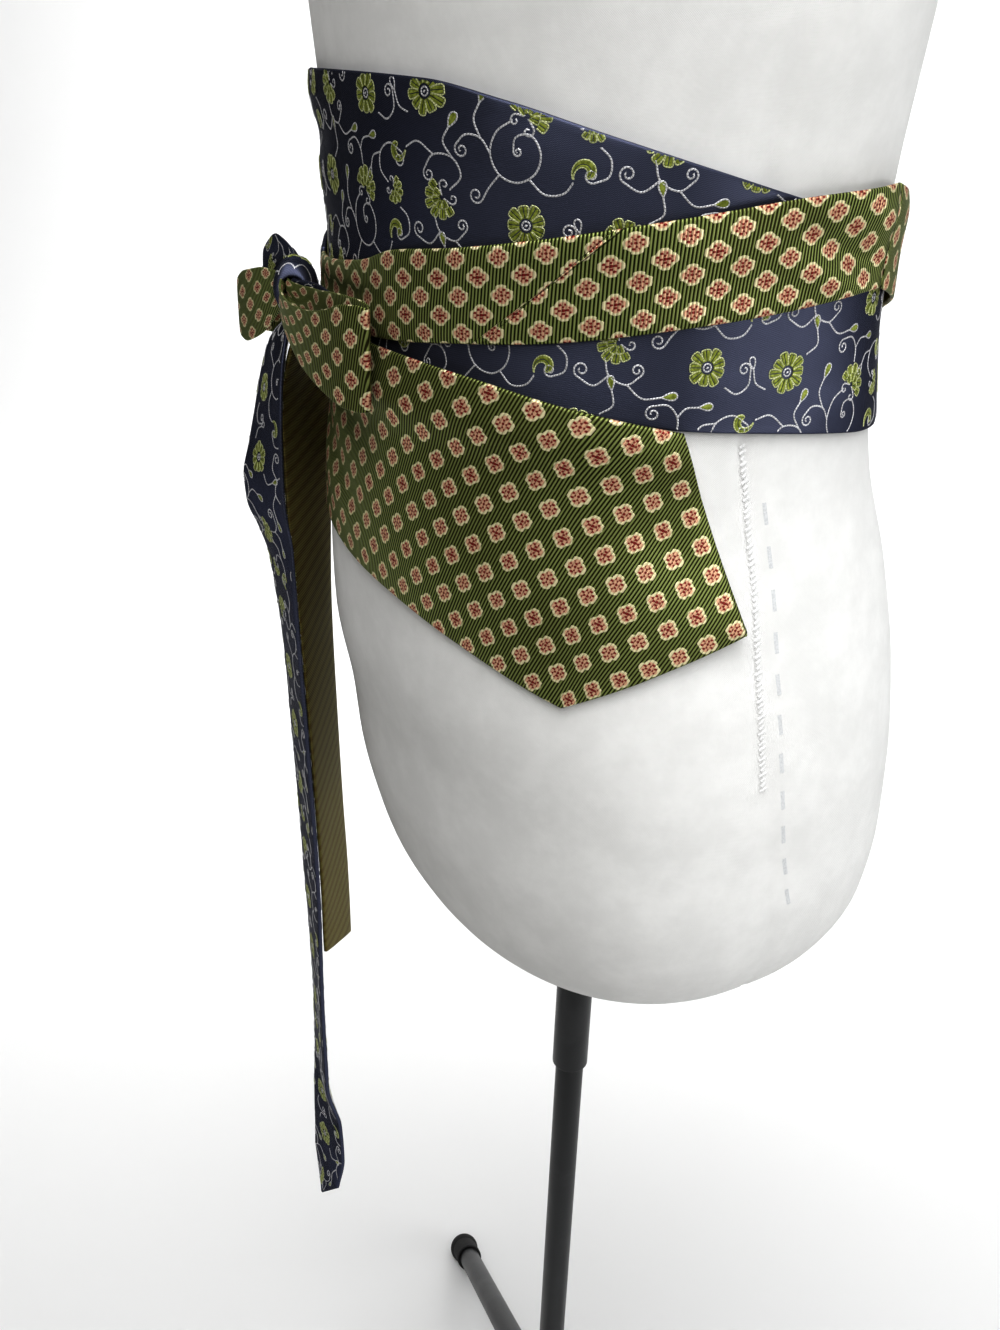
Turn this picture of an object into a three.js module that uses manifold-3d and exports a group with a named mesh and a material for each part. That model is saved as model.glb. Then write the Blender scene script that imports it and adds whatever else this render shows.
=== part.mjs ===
// A belt wound from two neckties and tied in a bow, on a limbless dress form with a tripod stand.
//
// Millimetres, +Z up, floor at Z = 0. The form faces -Y. A direction round the form is an azimuth in
// degrees: 0 is the front, 90 the form's left side (+X), 180 the back. A place on the form is given
// by its azimuth, its height and how far it stands off the form's skin.
// The navy tie's wide end is the main band. The olive tie's wide end lies over the hip and its narrow
// half is the strap. Their narrow ends are tied in a bow by the front.

import * as THREE from "three";
import { mergeVertices } from "three/addons/utils/BufferGeometryUtils.js";
import Module from "manifold-3d";

// ---- Small helpers for tables -------------------------------------------------------------------

// Rows of numbers with named columns, as objects.
function table(columns, rows) {
  const names = columns.split(" ");
  return rows.map((row) => Object.fromEntries(names.map((name, index) => [name, row[index]])));
}

// Slope of a column at one end of the span after a row. At a corner it is the span's own slope;
// elsewhere it is level at a peak or a dip, or between the slopes on either side.
function slopeAt(rows, key, column, span, end) {
  const slope = (i) => (rows[i + 1][column] - rows[i][column]) / (rows[i + 1][key] - rows[i][key]);
  const index = span + end;
  if (index === 0 || index === rows.length - 1 || rows[index].corner) return slope(span);
  const before = slope(index - 1);
  const after = slope(index);
  return before * after <= 0 ? 0 : (2 * before * after) / (before + after);
}

// A column read smoothly between the rows, but for those marked as a corner, and held level past
// the first and last row.
function valueAt(rows, key, column, at) {
  const last = rows.length - 1;
  if (at <= rows[0][key]) return rows[0][column];
  if (at >= rows[last][key]) return rows[last][column];
  let index = 0;
  while (at > rows[index + 1][key]) index += 1;
  const span = rows[index + 1][key] - rows[index][key];
  const t = (at - rows[index][key]) / span;
  const rise = t * t * (3 - 2 * t);
  const leave = t * (1 - t) * (1 - t) * span * slopeAt(rows, key, column, index, 0);
  const arrive = t * t * (t - 1) * span * slopeAt(rows, key, column, index, 1);
  return rows[index][column] * (1 - rise) + rows[index + 1][column] * rise + leave + arrive;
}

// ---- Driving dimensions -------------------------------------------------------------------------

const ROUNDNESS = 2.25; // exponent of the form's super-ellipse sections, 2 being an ellipse

// The form's sections from its underside to its neck: half width and reach to the front and back.
const FORM_SECTIONS = table("height halfWidth front back", [
  [582, 84, 58, 84],
  [590, 101, 71, 96],
  [604, 116, 81, 106],
  [625, 125, 88, 111],
  [650, 128, 94, 112],
  [680, 128, 98, 110],
  [720, 124, 106, 105],
  [760, 116, 108, 96],
  [800, 108, 106, 82],
  [850, 105, 104, 72],
  [900, 110, 107, 69],
  [944, 117, 111, 69],
  [1000, 124, 117, 76],
  [1060, 129, 126, 90],
  [1110, 129, 125, 98],
  [1150, 124, 108, 98],
  [1180, 117, 86, 92],
  [1202, 104, 67, 80],
  [1218, 80, 54, 63],
  [1230, 58, 46, 50],
  [1244, 47, 43, 44],
  [1262, 44, 41, 41],
  [1285, 44, 41, 41],
]);
const FORM_SIDES = 40;
const FORM_RING_STEP = 25;

const TIE_THICK = 2.4; // a folded, interlined necktie
const TIE_EDGE = 0.6; // share of that thickness left at the folded edges
const LOOP_THICK = 1.3; // the same cloth pulled flat in the bow
const FLAT_LOOP_THICK = 2.9; // a loop pressed flat, its two layers together
const SKIN_GAP = 0.7; // cloth to form
const LAYER_GAP = 0.75; // cloth to the cloth under it
const JOIN_GAP = 0.3; // end to end, along the belt
const BRIDGE_START = 5; // how far past an edge a layer still lies at full height
const BRIDGE_REACH = 16; // and how far on it comes down
const MM_PER_DEGREE = 1.87; // along the belt at the waist

// Bands wound on the form: lower and upper edge by azimuth, the slant of the section (degrees that
// its top leads by), the extra stand-off of the whole section and that of its edges alone, and
// whether the outline turns a corner there.
const BAND = "azimuth low high lean lift cup corner";
const NAVY_BLADE = table(BAND, [
  [-54, 874, 878, 0, 0, 0],
  [-28, 831, 921, 0, 0, 0.5, true],
  [0, 830, 920, 0, 0, 0.5],
  [26, 829, 918, 0, 0, 0.3],
  [40, 827, 913, 0, 0, 0.3],
  [56, 824.5, 904.5, 0, 0, 0.3],
  [69, 822, 897.5, 0, 0, 0.3],
  [84, 820, 890, 0, 0, 0.3],
  [98, 817.6, 884, 0, 0, 0.2],
  [110, 815, 879, 0, 0, 0.2],
  [118, 814, 876, 0, 0, 0.4],
]);
const NAVY_NECK = table(BAND, [
  [118.2, 814, 876, 0, 0, 0.4],
  [140, 816, 872, 0, 0, 0.8],
  [165, 821, 869, 0, 0, 0.6],
  [190, 826, 869, 0, 0, 0.6],
  [220, 830, 871, 0, 0, 0.3],
  [250, 833, 873, 0, 0, 0.3],
  [280, 836, 874, 0, 0, 0],
  [306, 838, 872, 0, 0, 0],
  [322, 841, 867, 0, 0, 0],
  [335.6, 843, 861, 0, 0, 0],
]);
const OLIVE_BLADE = table(BAND, [
  [-32, 767, 839, 0, 0, 0],
  [-4, 758, 838.5, 0, 0, 0],
  [17, 753, 837.5, 0, 0, 0],
  [33, 745.5, 835, 0, 0, 0],
  [53, 731.3, 828, 0, 0.4, 0, true],
  [69, 746.5, 822.5, 0, 1.2, 0, true],
  [81, 757, 759.5, 0, 2.6, 0],
]);
const OLIVE_NECK = table(BAND, [
  [105.2, 862.5, 893.5, 0, 0, 1.4],
  [125, 853, 887, 0, 0, 1.2],
  [150, 838, 877, 0, 0, 0.8],
  [180, 820, 866, 0, 0, 0.6],
  [210, 803, 856, 0, 0, 0],
  [240, 789, 848, 0, 0, 0],
  [270, 778, 842, 0, 0, 0],
  [300, 771, 839, 0, 0, 0],
  [327.8, 767, 839, 0, 0, 0],
]);
const OLIVE_STRAP = table(BAND, [
  [-23.6, 844, 860, 0, 0, 0],
  [-12, 842, 860.5, 0, 0, 0],
  [7, 840, 864, 0, 0, 0],
  [17, 841, 869, 4, 0, 0],
  [31.7, 844, 872.4, 14, 0, 0],
  [46.6, 847, 877, 20, 0, 0.2],
  [66, 852.5, 884, 10, 0, 0.4],
  [84.5, 857.5, 890, 0, 0, 1],
  [101, 862, 893, 0, 0, 1.4],
  [105, 862.5, 893.5, 0, 0, 1.4],
]);
const STRAP_JOIN = 46.6; // where the slanting sewn join crosses the strap's middle
const BAND_STEP = 4; // degrees between sections
const ACROSS_BLADE = 7; // points across the olive wide end, which spans the most curve
const ACROSS_STRAP = 6;
const ACROSS_BAND = 5;
const ACROSS_STRIP = 4;
const STRIP_EDGE = 0.65; // share of the thickness left at the edges of the bow's strips

// The bow stands on the belt at KNOT_AZIMUTH. Its places are told from the form's skin there:
// along the belt (towards the form's left side), out from the form, and height.
const KNOT_AZIMUTH = -24;
const KNOT_HEIGHT = 847;
const KNOT_BACK = 7.7; // the wrap's nearest reach to the skin
const KNOT_DEPTH = 16.1;
const KNOT_HALF_HEIGHT = 11;
const KNOT_LENGTH = 22; // along the belt
const KNOT_WALL = 2.4;

// The loops, from the knot out and, but for the flat one, back again, seen from above.
const LOOP = "along out height half";
const OLIVE_LOOP_NEAR = table(LOOP, [
  [3, 19.4, 847, 4.5],
  [11, 19.5, 846.5, 4.5],
  [18, 19.2, 844, 5],
  [27, 16.5, 840, 6.5],
  [40, 10.5, 835.8, 9.8],
  [52, 4, 834, 12.5],
  [60, -1.2, 833.6, 15],
  [66, -5.8, 834, 17.3],
  [71, -10.4, 834.4, 18.2],
  [72.8, -13, 834.4, 18.3],
  [70, -12.6, 834.6, 18.3],
  [66, -9.8, 835, 18.2],
  [60, -6.3, 835.5, 17.6],
  [50, -1.4, 836.5, 16],
  [40, 2.9, 838, 13.5],
  [30, 7, 840.5, 10.5],
  [20, 12.5, 844, 6.5],
  [11, 17.4, 846.5, 4.5],
  [3, 17.7, 847, 4.5],
]);
const NAVY_LOOP_NEAR = table(LOOP, [
  [3, 15.1, 847, 4.5],
  [11, 14.6, 846.8, 4.5],
  [18, 9.8, 845, 6.5],
  [24, 5.9, 843, 8.5],
  [30, 3.3, 841, 10.5],
  [36, 0.9, 839, 12],
  [42, -1.4, 837.5, 13.5],
  [48, -3.8, 836, 14.5],
  [54, -6.7, 835, 15],
  [60, -9.6, 834.5, 15.5],
  [66, -12.9, 834.5, 15.4],
  [70.5, -16.2, 834.5, 15],
]);
const OLIVE_LOOP_FAR = table(LOOP, [
  [-3, 19.4, 847, 4.5],
  [-11, 19.6, 846.5, 4.5],
  [-20, 25.2, 842, 7],
  [-32, 34.5, 835.5, 11],
  [-43, 42.5, 831.5, 13.5],
  [-51, 44.5, 830.5, 14],
  [-55, 39, 830.5, 14],
  [-51, 31, 831.5, 13.5],
  [-42, 22.5, 834.5, 12],
  [-30, 16, 839.5, 9.5],
  [-20, 14.2, 843.5, 6.5],
  [-11, 14, 846.5, 4.5],
  [-3, 14, 847, 4.5],
]);
const NAVY_LOOP_FAR = table(LOOP, [
  [-3, 17.8, 847, 4.5],
  [-11, 17.6, 847.5, 4.5],
  [-20, 20.4, 848.5, 6],
  [-29, 25.6, 848.5, 9.5],
  [-37, 29.2, 848, 12],
  [-43.5, 31.4, 842.5, 11],
  [-46, 28.4, 840, 10],
  [-41, 24.4, 843, 11],
  [-30, 19.4, 847, 9],
  [-20, 17, 848, 6],
  [-11, 15.9, 847.5, 4.5],
  [-3, 15.9, 847, 4.5],
]);

// The two hanging ends: places as above, half width, and the turn of the cloth in degrees from
// lying along the belt to standing straight out from it.
const TAIL = "along out height half turn corner";
const NAVY_TAIL = table(TAIL, [
  [-9, 17.8, 835.3, 6, 0],
  [-12, 24, 826, 11.5, -18],
  [-12.5, 27.8, 812, 15, -21],
  [-12, 30.2, 795, 17, -24],
  [-11, 33.4, 767, 17.5, -34],
  [-10.5, 29.8, 745, 18, -29],
  [-11, 26.2, 712, 18, -20],
  [-13, 24, 660, 18, -18],
  [-13, 21.5, 580, 18, -17],
  [-13, 20.5, 500, 18, -13],
  [-13, 20.2, 455, 18, -15],
  [-13, 18, 428, 18, -27],
  [-13, 18, 405, 18, -29],
  [-13, 20, 386, 18, -24, true],
  [-13, 22.5, 366, 1, -23],
]);
const OLIVE_TAIL = table(TAIL, [
  [-9, 13.5, 835.3, 6, 0],
  [-15.5, 15.6, 822, 13, 18],
  [-21.5, 16.3, 800, 17.5, 27],
  [-23, 16.2, 775, 17.5, 28],
  [-24.5, 16.6, 740, 17.5, 23],
  [-25, 15.8, 700, 17.5, 17],
  [-25.5, 14.6, 660, 17.5, 15],
  [-26, 12.8, 600, 17.5, 14],
  [-26, 11.2, 525, 17.5, 17],
]);

// The plate and socket under the form, the pole, and the tripod.
const STAND = {
  plateRadius: 34,
  plateThick: 4,
  plateGap: 0.3,
  sleeveRadius: 8.8,
  sleeveLength: 108,
  poleRadius: 7,
  runningGap: 0.3,
  hubRadius: 19,
  hubTop: 214,
  hubBottom: 162,
  hubEdge: 2,
  hubSocketFloor: 176,
  legTop: 194,
  legRadius: 8,
  legReach: 285,
  socketLength: 34,
  socketRadius: 11,
  footRadius: 11.5,
  footRise: 8.5, // the round end's centre above the floor
  footSleeve: 30,
  footSleeveRadius: 10,
  footBite: 4, // where the leg stops short of the round end's centre
};
const LEG_AZIMUTHS = [-105, 15, 135];
const NECK_CAP = { radius: 45, thick: 8, edge: 2, gap: 0.3 };

// How many flat sides the round things are built with.
const SIDES = { cap: 32, socket: 24, pole: 20, hub: 24, stub: 16, leg: 14, foot: 18, footRings: 12, oval: 12 };
const HUB_LEG_START = 0.6; // where a leg's axis starts, as a share of the hub's radius

const MERGE_WITHIN = 1e-4; // points this close are one

// ---- Making solids ------------------------------------------------------------------------------

const radians = THREE.MathUtils.degToRad;

// A closed body between two grids of points, [section][across], that face each other.
function solidBetween(outer, inner) {
  const sections = outer.length;
  const count = outer[0].length;
  const positions = [...outer, ...inner].flat().flatMap((point) => point.toArray());
  const at = (side, section, across) => (side * sections + section) * count + across;
  const faces = [];
  const quad = (a, b, c, d) => faces.push(a, b, c, a, c, d);
  for (let s = 0; s < sections - 1; s += 1) {
    for (let c = 0; c < count - 1; c += 1) {
      quad(at(0, s, c), at(0, s + 1, c), at(0, s + 1, c + 1), at(0, s, c + 1));
      quad(at(1, s, c), at(1, s, c + 1), at(1, s + 1, c + 1), at(1, s + 1, c));
    }
    quad(at(0, s, 0), at(1, s, 0), at(1, s + 1, 0), at(0, s + 1, 0));
    quad(at(0, s, count - 1), at(0, s + 1, count - 1), at(1, s + 1, count - 1), at(1, s, count - 1));
  }
  for (let c = 0; c < count - 1; c += 1) {
    quad(at(0, 0, c), at(0, 0, c + 1), at(1, 0, c + 1), at(1, 0, c));
    const s = sections - 1;
    quad(at(0, s, c), at(1, s, c), at(1, s, c + 1), at(0, s, c + 1));
  }
  return bodyOf(positions, faces);
}

// A geometry whose faces point out, whichever way round they were given.
function bodyOf(positions, faces) {
  const point = (index) => new THREE.Vector3().fromArray(positions, index * 3);
  let volume = 0;
  for (let f = 0; f < faces.length; f += 3) {
    volume += point(faces[f]).dot(point(faces[f + 1]).cross(point(faces[f + 2])));
  }
  if (volume < 0) faces.reverse();
  const geometry = new THREE.BufferGeometry();
  geometry.setAttribute("position", new THREE.Float32BufferAttribute(positions, 3));
  geometry.setIndex(faces);
  geometry.computeVertexNormals();
  return geometry;
}

// Rings of points joined into a closed body, with a flat lid on the first and the last ring.
function solidOfRings(rings) {
  const sides = rings[0].length;
  const positions = rings.flat().flatMap((point) => point.toArray());
  const faces = [];
  for (let r = 0; r < rings.length - 1; r += 1) {
    for (let s = 0; s < sides; s += 1) {
      const next = (s + 1) % sides;
      const a = r * sides + s;
      const b = r * sides + next;
      faces.push(a, b, b + sides, a, b + sides, a + sides);
    }
  }
  const top = (rings.length - 1) * sides;
  for (let s = 1; s < sides - 1; s += 1) {
    faces.push(0, s + 1, s, top, top + s, top + s + 1);
  }
  return bodyOf(positions, faces);
}

// ---- The form's skin and the bands on it --------------------------------------------------------

function formRadius(azimuth, height) {
  const read = (column) => valueAt(FORM_SECTIONS, "height", column, height);
  const toSide = Math.abs(Math.sin(radians(azimuth)));
  const toFront = Math.cos(radians(azimuth));
  const depth = toFront > 0 ? read("front") : read("back");
  const sum = (toSide / read("halfWidth")) ** ROUNDNESS + (Math.abs(toFront) / depth) ** ROUNDNESS;
  return sum ** (-1 / ROUNDNESS);
}

function skinPoint(azimuth, height, standOff) {
  const reach = formRadius(azimuth, height) + standOff;
  return new THREE.Vector3(
    reach * Math.sin(radians(azimuth)),
    -reach * Math.cos(radians(azimuth)),
    height,
  );
}

// Thickness of a folded tie across its width, from 0 at one edge to 1 at the other.
function tieThickness(across) {
  return TIE_THICK * (1 - (1 - TIE_EDGE) * Math.abs(2 * across - 1) ** 4);
}

// How far the outside of a band stands off the skin at a place, fading out past its edges.
// A band may be met a full turn on, so it is read at the azimuth and a given turn from it.
function coverOf(band, azimuth, height) {
  const { rows, under, turn } = band;
  const there = azimuth + turn;
  const low = valueAt(rows, "azimuth", "low", there);
  const high = valueAt(rows, "azimuth", "high", there);
  const beyond = Math.max(rows[0].azimuth - there, there - rows[rows.length - 1].azimuth, 0);
  const outside = Math.hypot(Math.max(low - height, height - high, 0), beyond * MM_PER_DEGREE);
  const fade = THREE.MathUtils.smoothstep(outside, BRIDGE_START, BRIDGE_START + BRIDGE_REACH);
  if (fade === 1) return 0;
  const within = THREE.MathUtils.clamp((height - low) / (high - low), 0, 1);
  const inner = innerStandOff(rows, under, there, height, within);
  return (inner + TIE_THICK) * (1 - fade);
}

// How far the inside of a band stands off: clear of the skin and of every band under it.
function innerStandOff(rows, under, azimuth, height, across) {
  const covers = under.map((band) => coverOf(band, azimuth, height) + LAYER_GAP);
  const lift = valueAt(rows, "azimuth", "lift", azimuth);
  const cup = valueAt(rows, "azimuth", "cup", azimuth) * (2 * across - 1) ** 2;
  return Math.max(SKIN_GAP, ...covers) + lift + cup;
}

// One section of a band: its inner and outer points from the lower edge to the upper.
function bandSection(rows, under, azimuth, acrossCount) {
  const lean = valueAt(rows, "azimuth", "lean", azimuth);
  const low = valueAt(rows, "azimuth", "low", azimuth - lean / 2);
  const high = valueAt(rows, "azimuth", "high", azimuth + lean / 2);
  const inner = [];
  const outer = [];
  for (let c = 0; c < acrossCount; c += 1) {
    const across = c / (acrossCount - 1);
    const height = THREE.MathUtils.lerp(low, high, across);
    const there = azimuth + lean * (across - 0.5);
    const standOff = innerStandOff(rows, under, there, height, across);
    inner.push(skinPoint(there, height, standOff));
    outer.push(skinPoint(there, height, standOff + tieThickness(across)));
  }
  return { inner, outer };
}

// Azimuths of a band's sections: whole steps, the ends, and the rows that turn a corner.
function bandStations(rows, first, last) {
  const corners = rows.filter((row) => row.corner).map((row) => row.azimuth);
  const stations = new Set([first, last, ...corners]);
  for (let azimuth = Math.ceil(first / BAND_STEP) * BAND_STEP; azimuth < last; azimuth += BAND_STEP) {
    const near = [first, last, ...corners].some((other) => Math.abs(other - azimuth) < BAND_STEP / 3);
    if (!near) stations.add(azimuth);
  }
  return [...stations].sort((a, b) => a - b);
}

function bandSolid(rows, under, { first, last, acrossCount = ACROSS_BAND }) {
  const start = first ?? rows[0].azimuth;
  const end = last ?? rows[rows.length - 1].azimuth;
  const sections = bandStations(rows, start, end).map((azimuth) =>
    bandSection(rows, under, azimuth, acrossCount),
  );
  return solidBetween(
    sections.map((section) => section.outer),
    sections.map((section) => section.inner),
  );
}

// ---- The bow ------------------------------------------------------------------------------------

// The bow's own directions at the knot: along the belt, out from the form, and up.
const ALONG = new THREE.Vector3(Math.cos(radians(KNOT_AZIMUTH)), Math.sin(radians(KNOT_AZIMUTH)), 0);
const OUT = new THREE.Vector3(Math.sin(radians(KNOT_AZIMUTH)), -Math.cos(radians(KNOT_AZIMUTH)), 0);
const UP = new THREE.Vector3(0, 0, 1);
const KNOT_SKIN = skinPoint(KNOT_AZIMUTH, KNOT_HEIGHT, 0).setZ(0);

function bowPoint(along, out, height) {
  return KNOT_SKIN.clone().addScaledVector(ALONG, along).addScaledVector(OUT, out).setZ(height);
}

// A strip of cloth through sections that give its middle, its direction across and its half width.
function stripSolid(sections, thick) {
  const outer = [];
  const inner = [];
  sections.forEach((section, index) => {
    const before = sections[Math.max(index - 1, 0)].middle;
    const after = sections[Math.min(index + 1, sections.length - 1)].middle;
    const facing = after.clone().sub(before).cross(section.across).normalize();
    const line = (side) =>
      Array.from({ length: ACROSS_STRIP }, (unused, c) => {
        const across = (2 * c) / (ACROSS_STRIP - 1) - 1;
        const half = (thick / 2) * (1 - (1 - STRIP_EDGE) * across ** 4);
        return section.middle
          .clone()
          .addScaledVector(section.across, across * section.half)
          .addScaledVector(facing, side * half);
      });
    outer.push(line(1));
    inner.push(line(-1));
  });
  return solidBetween(outer, inner);
}

// A loop's sections, upright and smooth through its rows.
function loopSections(rows, pieces) {
  const path = new THREE.CatmullRomCurve3(
    rows.map((row) => bowPoint(row.along, row.out, row.height)),
    false,
    "centripetal",
  );
  const placed = rows.map((row, index) => ({ ...row, place: index / (rows.length - 1) }));
  return Array.from({ length: pieces + 1 }, (unused, index) => {
    const place = index / pieces;
    return { middle: path.getPoint(place), across: UP, half: valueAt(placed, "place", "half", place) };
  });
}

// A hanging end: level sections from its top row to its bottom row, turned about the vertical.
function tailSections(rows, pieces) {
  const top = rows[0].height;
  const length = top - rows[rows.length - 1].height;
  const hung = rows.map((row) => ({ ...row, drop: top - row.height }));
  const corners = hung.filter((row) => row.corner).map((row) => row.drop);
  const even = Array.from({ length: pieces + 1 }, (unused, index) => (length * index) / pieces);
  const near = (drop) => corners.find((corner) => Math.abs(corner - drop) < length / pieces / 2);
  return even.map((evenDrop) => {
    const drop = near(evenDrop) ?? evenDrop;
    const read = (column) => valueAt(hung, "drop", column, drop);
    const turn = radians(read("turn"));
    const across = ALONG.clone().multiplyScalar(Math.cos(turn)).addScaledVector(OUT, Math.sin(turn));
    return { middle: bowPoint(read("along"), read("out"), top - drop), across, half: read("half") };
  });
}

// The wrap that binds the loops: an oval ring whose hollow runs along the belt.
function knotSolid() {
  const oval = (curve, wall) =>
    curve.absellipse(0, 0, KNOT_DEPTH / 2 - wall, KNOT_HALF_HEIGHT - wall, 0, 2 * Math.PI, false, 0);
  const ring = new THREE.Shape();
  oval(ring, 0);
  const hollow = new THREE.Path();
  oval(hollow, KNOT_WALL);
  ring.holes.push(hollow);
  const geometry = new THREE.ExtrudeGeometry(ring, {
    depth: KNOT_LENGTH,
    bevelEnabled: false,
    curveSegments: SIDES.oval,
  });
  const centre = bowPoint(KNOT_LENGTH / 2, KNOT_BACK + KNOT_DEPTH / 2, KNOT_HEIGHT);
  const place = new THREE.Matrix4().makeBasis(OUT, UP, ALONG.clone().negate()).setPosition(centre);
  return geometry.applyMatrix4(place);
}

// ---- The form and its stand ---------------------------------------------------------------------

// Heights of the form's rings: its rows, with the long spans between them split evenly.
function formHeights() {
  const heights = [FORM_SECTIONS[0].height];
  for (let index = 1; index < FORM_SECTIONS.length; index += 1) {
    const from = FORM_SECTIONS[index - 1].height;
    const to = FORM_SECTIONS[index].height;
    const pieces = Math.ceil((to - from) / FORM_RING_STEP);
    for (let piece = 1; piece <= pieces; piece += 1) heights.push(from + ((to - from) * piece) / pieces);
  }
  return heights;
}

function formSolid() {
  return solidOfRings(
    formHeights().map((height) =>
      Array.from({ length: FORM_SIDES }, (unused, side) =>
        skinPoint((side * 360) / FORM_SIDES, height, 0),
      ),
    ),
  );
}

function turned(points, sides) {
  const profile = points.map(([radius, height]) => new THREE.Vector2(radius, height));
  return new THREE.LatheGeometry(profile, sides).rotateX(Math.PI / 2);
}

function neckCapSolid() {
  const { radius, thick, gap, edge } = NECK_CAP;
  const foot = FORM_SECTIONS[FORM_SECTIONS.length - 1].height + gap;
  return turned(
    [
      [0, foot],
      [radius, foot],
      [radius, foot + thick - edge],
      [radius - edge, foot + thick],
      [0, foot + thick],
    ],
    SIDES.cap,
  );
}

// The plate under the form and the socket on it that takes the pole.
function socketSolid() {
  const { plateRadius, plateThick, plateGap, sleeveRadius, sleeveLength, poleRadius, runningGap } = STAND;
  const top = FORM_SECTIONS[0].height - plateGap;
  const under = top - plateThick;
  const mouth = under - sleeveLength;
  return turned(
    [
      [0, under],
      [poleRadius + runningGap, under],
      [poleRadius + runningGap, mouth],
      [sleeveRadius, mouth],
      [sleeveRadius, under],
      [plateRadius, under],
      [plateRadius, top],
      [0, top],
    ],
    SIDES.socket,
  );
}

function poleSolid() {
  const { plateThick, plateGap, poleRadius, runningGap, hubSocketFloor } = STAND;
  const top = FORM_SECTIONS[0].height - plateGap - plateThick - runningGap;
  const bottom = hubSocketFloor + runningGap;
  return new THREE.CylinderGeometry(poleRadius, poleRadius, top - bottom, SIDES.pole)
    .rotateX(Math.PI / 2)
    .translate(0, 0, (top + bottom) / 2);
}

// A leg's ends on its own axis, and its direction from hub to foot.
function legLine(azimuth) {
  const { legReach, legTop, hubRadius, footRadius, footRise } = STAND;
  const outwards = new THREE.Vector3(Math.sin(radians(azimuth)), -Math.cos(radians(azimuth)), 0);
  const hub = outwards.clone().multiplyScalar(hubRadius * HUB_LEG_START).setZ(legTop);
  const foot = outwards.clone().multiplyScalar(legReach - footRadius).setZ(footRise);
  return { hub, foot, direction: foot.clone().sub(hub).normalize() };
}

// A round bar between two points.
function bar(from, to, radius, sides) {
  const length = from.distanceTo(to);
  const turn = new THREE.Quaternion().setFromUnitVectors(UP, to.clone().sub(from).normalize());
  return new THREE.CylinderGeometry(radius, radius, length, sides)
    .rotateX(Math.PI / 2)
    .applyQuaternion(turn)
    .translate(...from.clone().add(to).multiplyScalar(0.5).toArray());
}

function legSolid(azimuth) {
  const { socketLength, runningGap, legRadius, footBite } = STAND;
  const { hub, foot, direction } = legLine(azimuth);
  const from = hub.clone().addScaledVector(direction, socketLength + runningGap);
  const to = foot.clone().addScaledVector(direction, -footBite);
  return bar(from, to, legRadius, SIDES.leg);
}

const wasm = await Module();
wasm.setup();

function toManifold(geometry) {
  const bare = geometry.clone();
  bare.deleteAttribute("normal");
  bare.deleteAttribute("uv");
  const merged = mergeVertices(bare, MERGE_WITHIN);
  return new wasm.Manifold(
    new wasm.Mesh({
      numProp: 3,
      vertProperties: new Float32Array(merged.attributes.position.array),
      triVerts: new Uint32Array(merged.index.array),
    }),
  );
}

function fromManifold(manifold) {
  const mesh = manifold.getMesh();
  const geometry = new THREE.BufferGeometry();
  geometry.setAttribute("position", new THREE.Float32BufferAttribute(mesh.vertProperties, 3));
  geometry.setIndex(Array.from(mesh.triVerts));
  geometry.computeVertexNormals();
  return geometry;
}

// The hub: a turned barrel with a socket for the pole and a stub for each leg.
function hubSolid() {
  const { hubRadius, hubTop, hubBottom, hubEdge, hubSocketFloor, poleRadius, runningGap } = STAND;
  const { socketLength, socketRadius } = STAND;
  const barrel = turned(
    [
      [0, hubBottom],
      [hubRadius - hubEdge, hubBottom],
      [hubRadius, hubBottom + hubEdge],
      [hubRadius, hubTop - hubEdge],
      [hubRadius - hubEdge, hubTop],
      [0, hubTop],
    ],
    SIDES.hub,
  );
  const stubs = LEG_AZIMUTHS.map((azimuth) => {
    const { hub, direction } = legLine(azimuth);
    return bar(hub, hub.clone().addScaledVector(direction, socketLength), socketRadius, SIDES.stub);
  });
  const bore = bar(
    new THREE.Vector3(0, 0, hubSocketFloor),
    new THREE.Vector3(0, 0, hubTop + hubEdge),
    poleRadius + runningGap,
    SIDES.pole,
  );
  const joined = stubs.reduce((sum, stub) => sum.add(toManifold(stub)), toManifold(barrel));
  return fromManifold(joined.subtract(toManifold(bore)));
}

// A rubber foot: a round end and a sleeve on the leg, flat underneath.
function footSolid(azimuth) {
  const { footRadius, footSleeve, footSleeveRadius, footBite, legRadius, runningGap } = STAND;
  const { foot, direction } = legLine(azimuth);
  const ball = new THREE.SphereGeometry(footRadius, SIDES.foot, SIDES.footRings).translate(...foot.toArray());
  const back = foot.clone().addScaledVector(direction, -footSleeve);
  const sleeve = bar(back, foot, footSleeveRadius, SIDES.foot);
  const seat = foot.clone().addScaledVector(direction, runningGap - footBite);
  const mouth = back.clone().addScaledVector(direction, -1);
  const bore = bar(mouth, seat, legRadius + runningGap, SIDES.leg);
  const underFloor = new THREE.BoxGeometry(4 * footSleeve, 4 * footSleeve, footSleeve)
    .translate(foot.x, foot.y, -footSleeve / 2);
  const whole = toManifold(ball).add(toManifold(sleeve));
  return fromManifold(whole.subtract(toManifold(bore)).subtract(toManifold(underFloor)));
}

// ---- The finished group -------------------------------------------------------------------------

const NAVY_CLOTH = { color: 0x1b1f3c, roughness: 0.55, metalness: 0 };
const OLIVE_CLOTH = { color: 0x55602a, roughness: 0.5, metalness: 0 };
const FORM_COVER = { color: 0xe9e8e6, roughness: 0.9, metalness: 0 };
const BLACK_METAL = { color: 0x1a1b1d, roughness: 0.45, metalness: 0.6 };
const BLACK_RUBBER = { color: 0x141415, roughness: 0.85, metalness: 0 };

const group = new THREE.Group();

function add(name, geometry, finish) {
  const mesh = new THREE.Mesh(geometry, new THREE.MeshStandardMaterial(finish));
  mesh.name = name;
  group.add(mesh);
}

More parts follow.
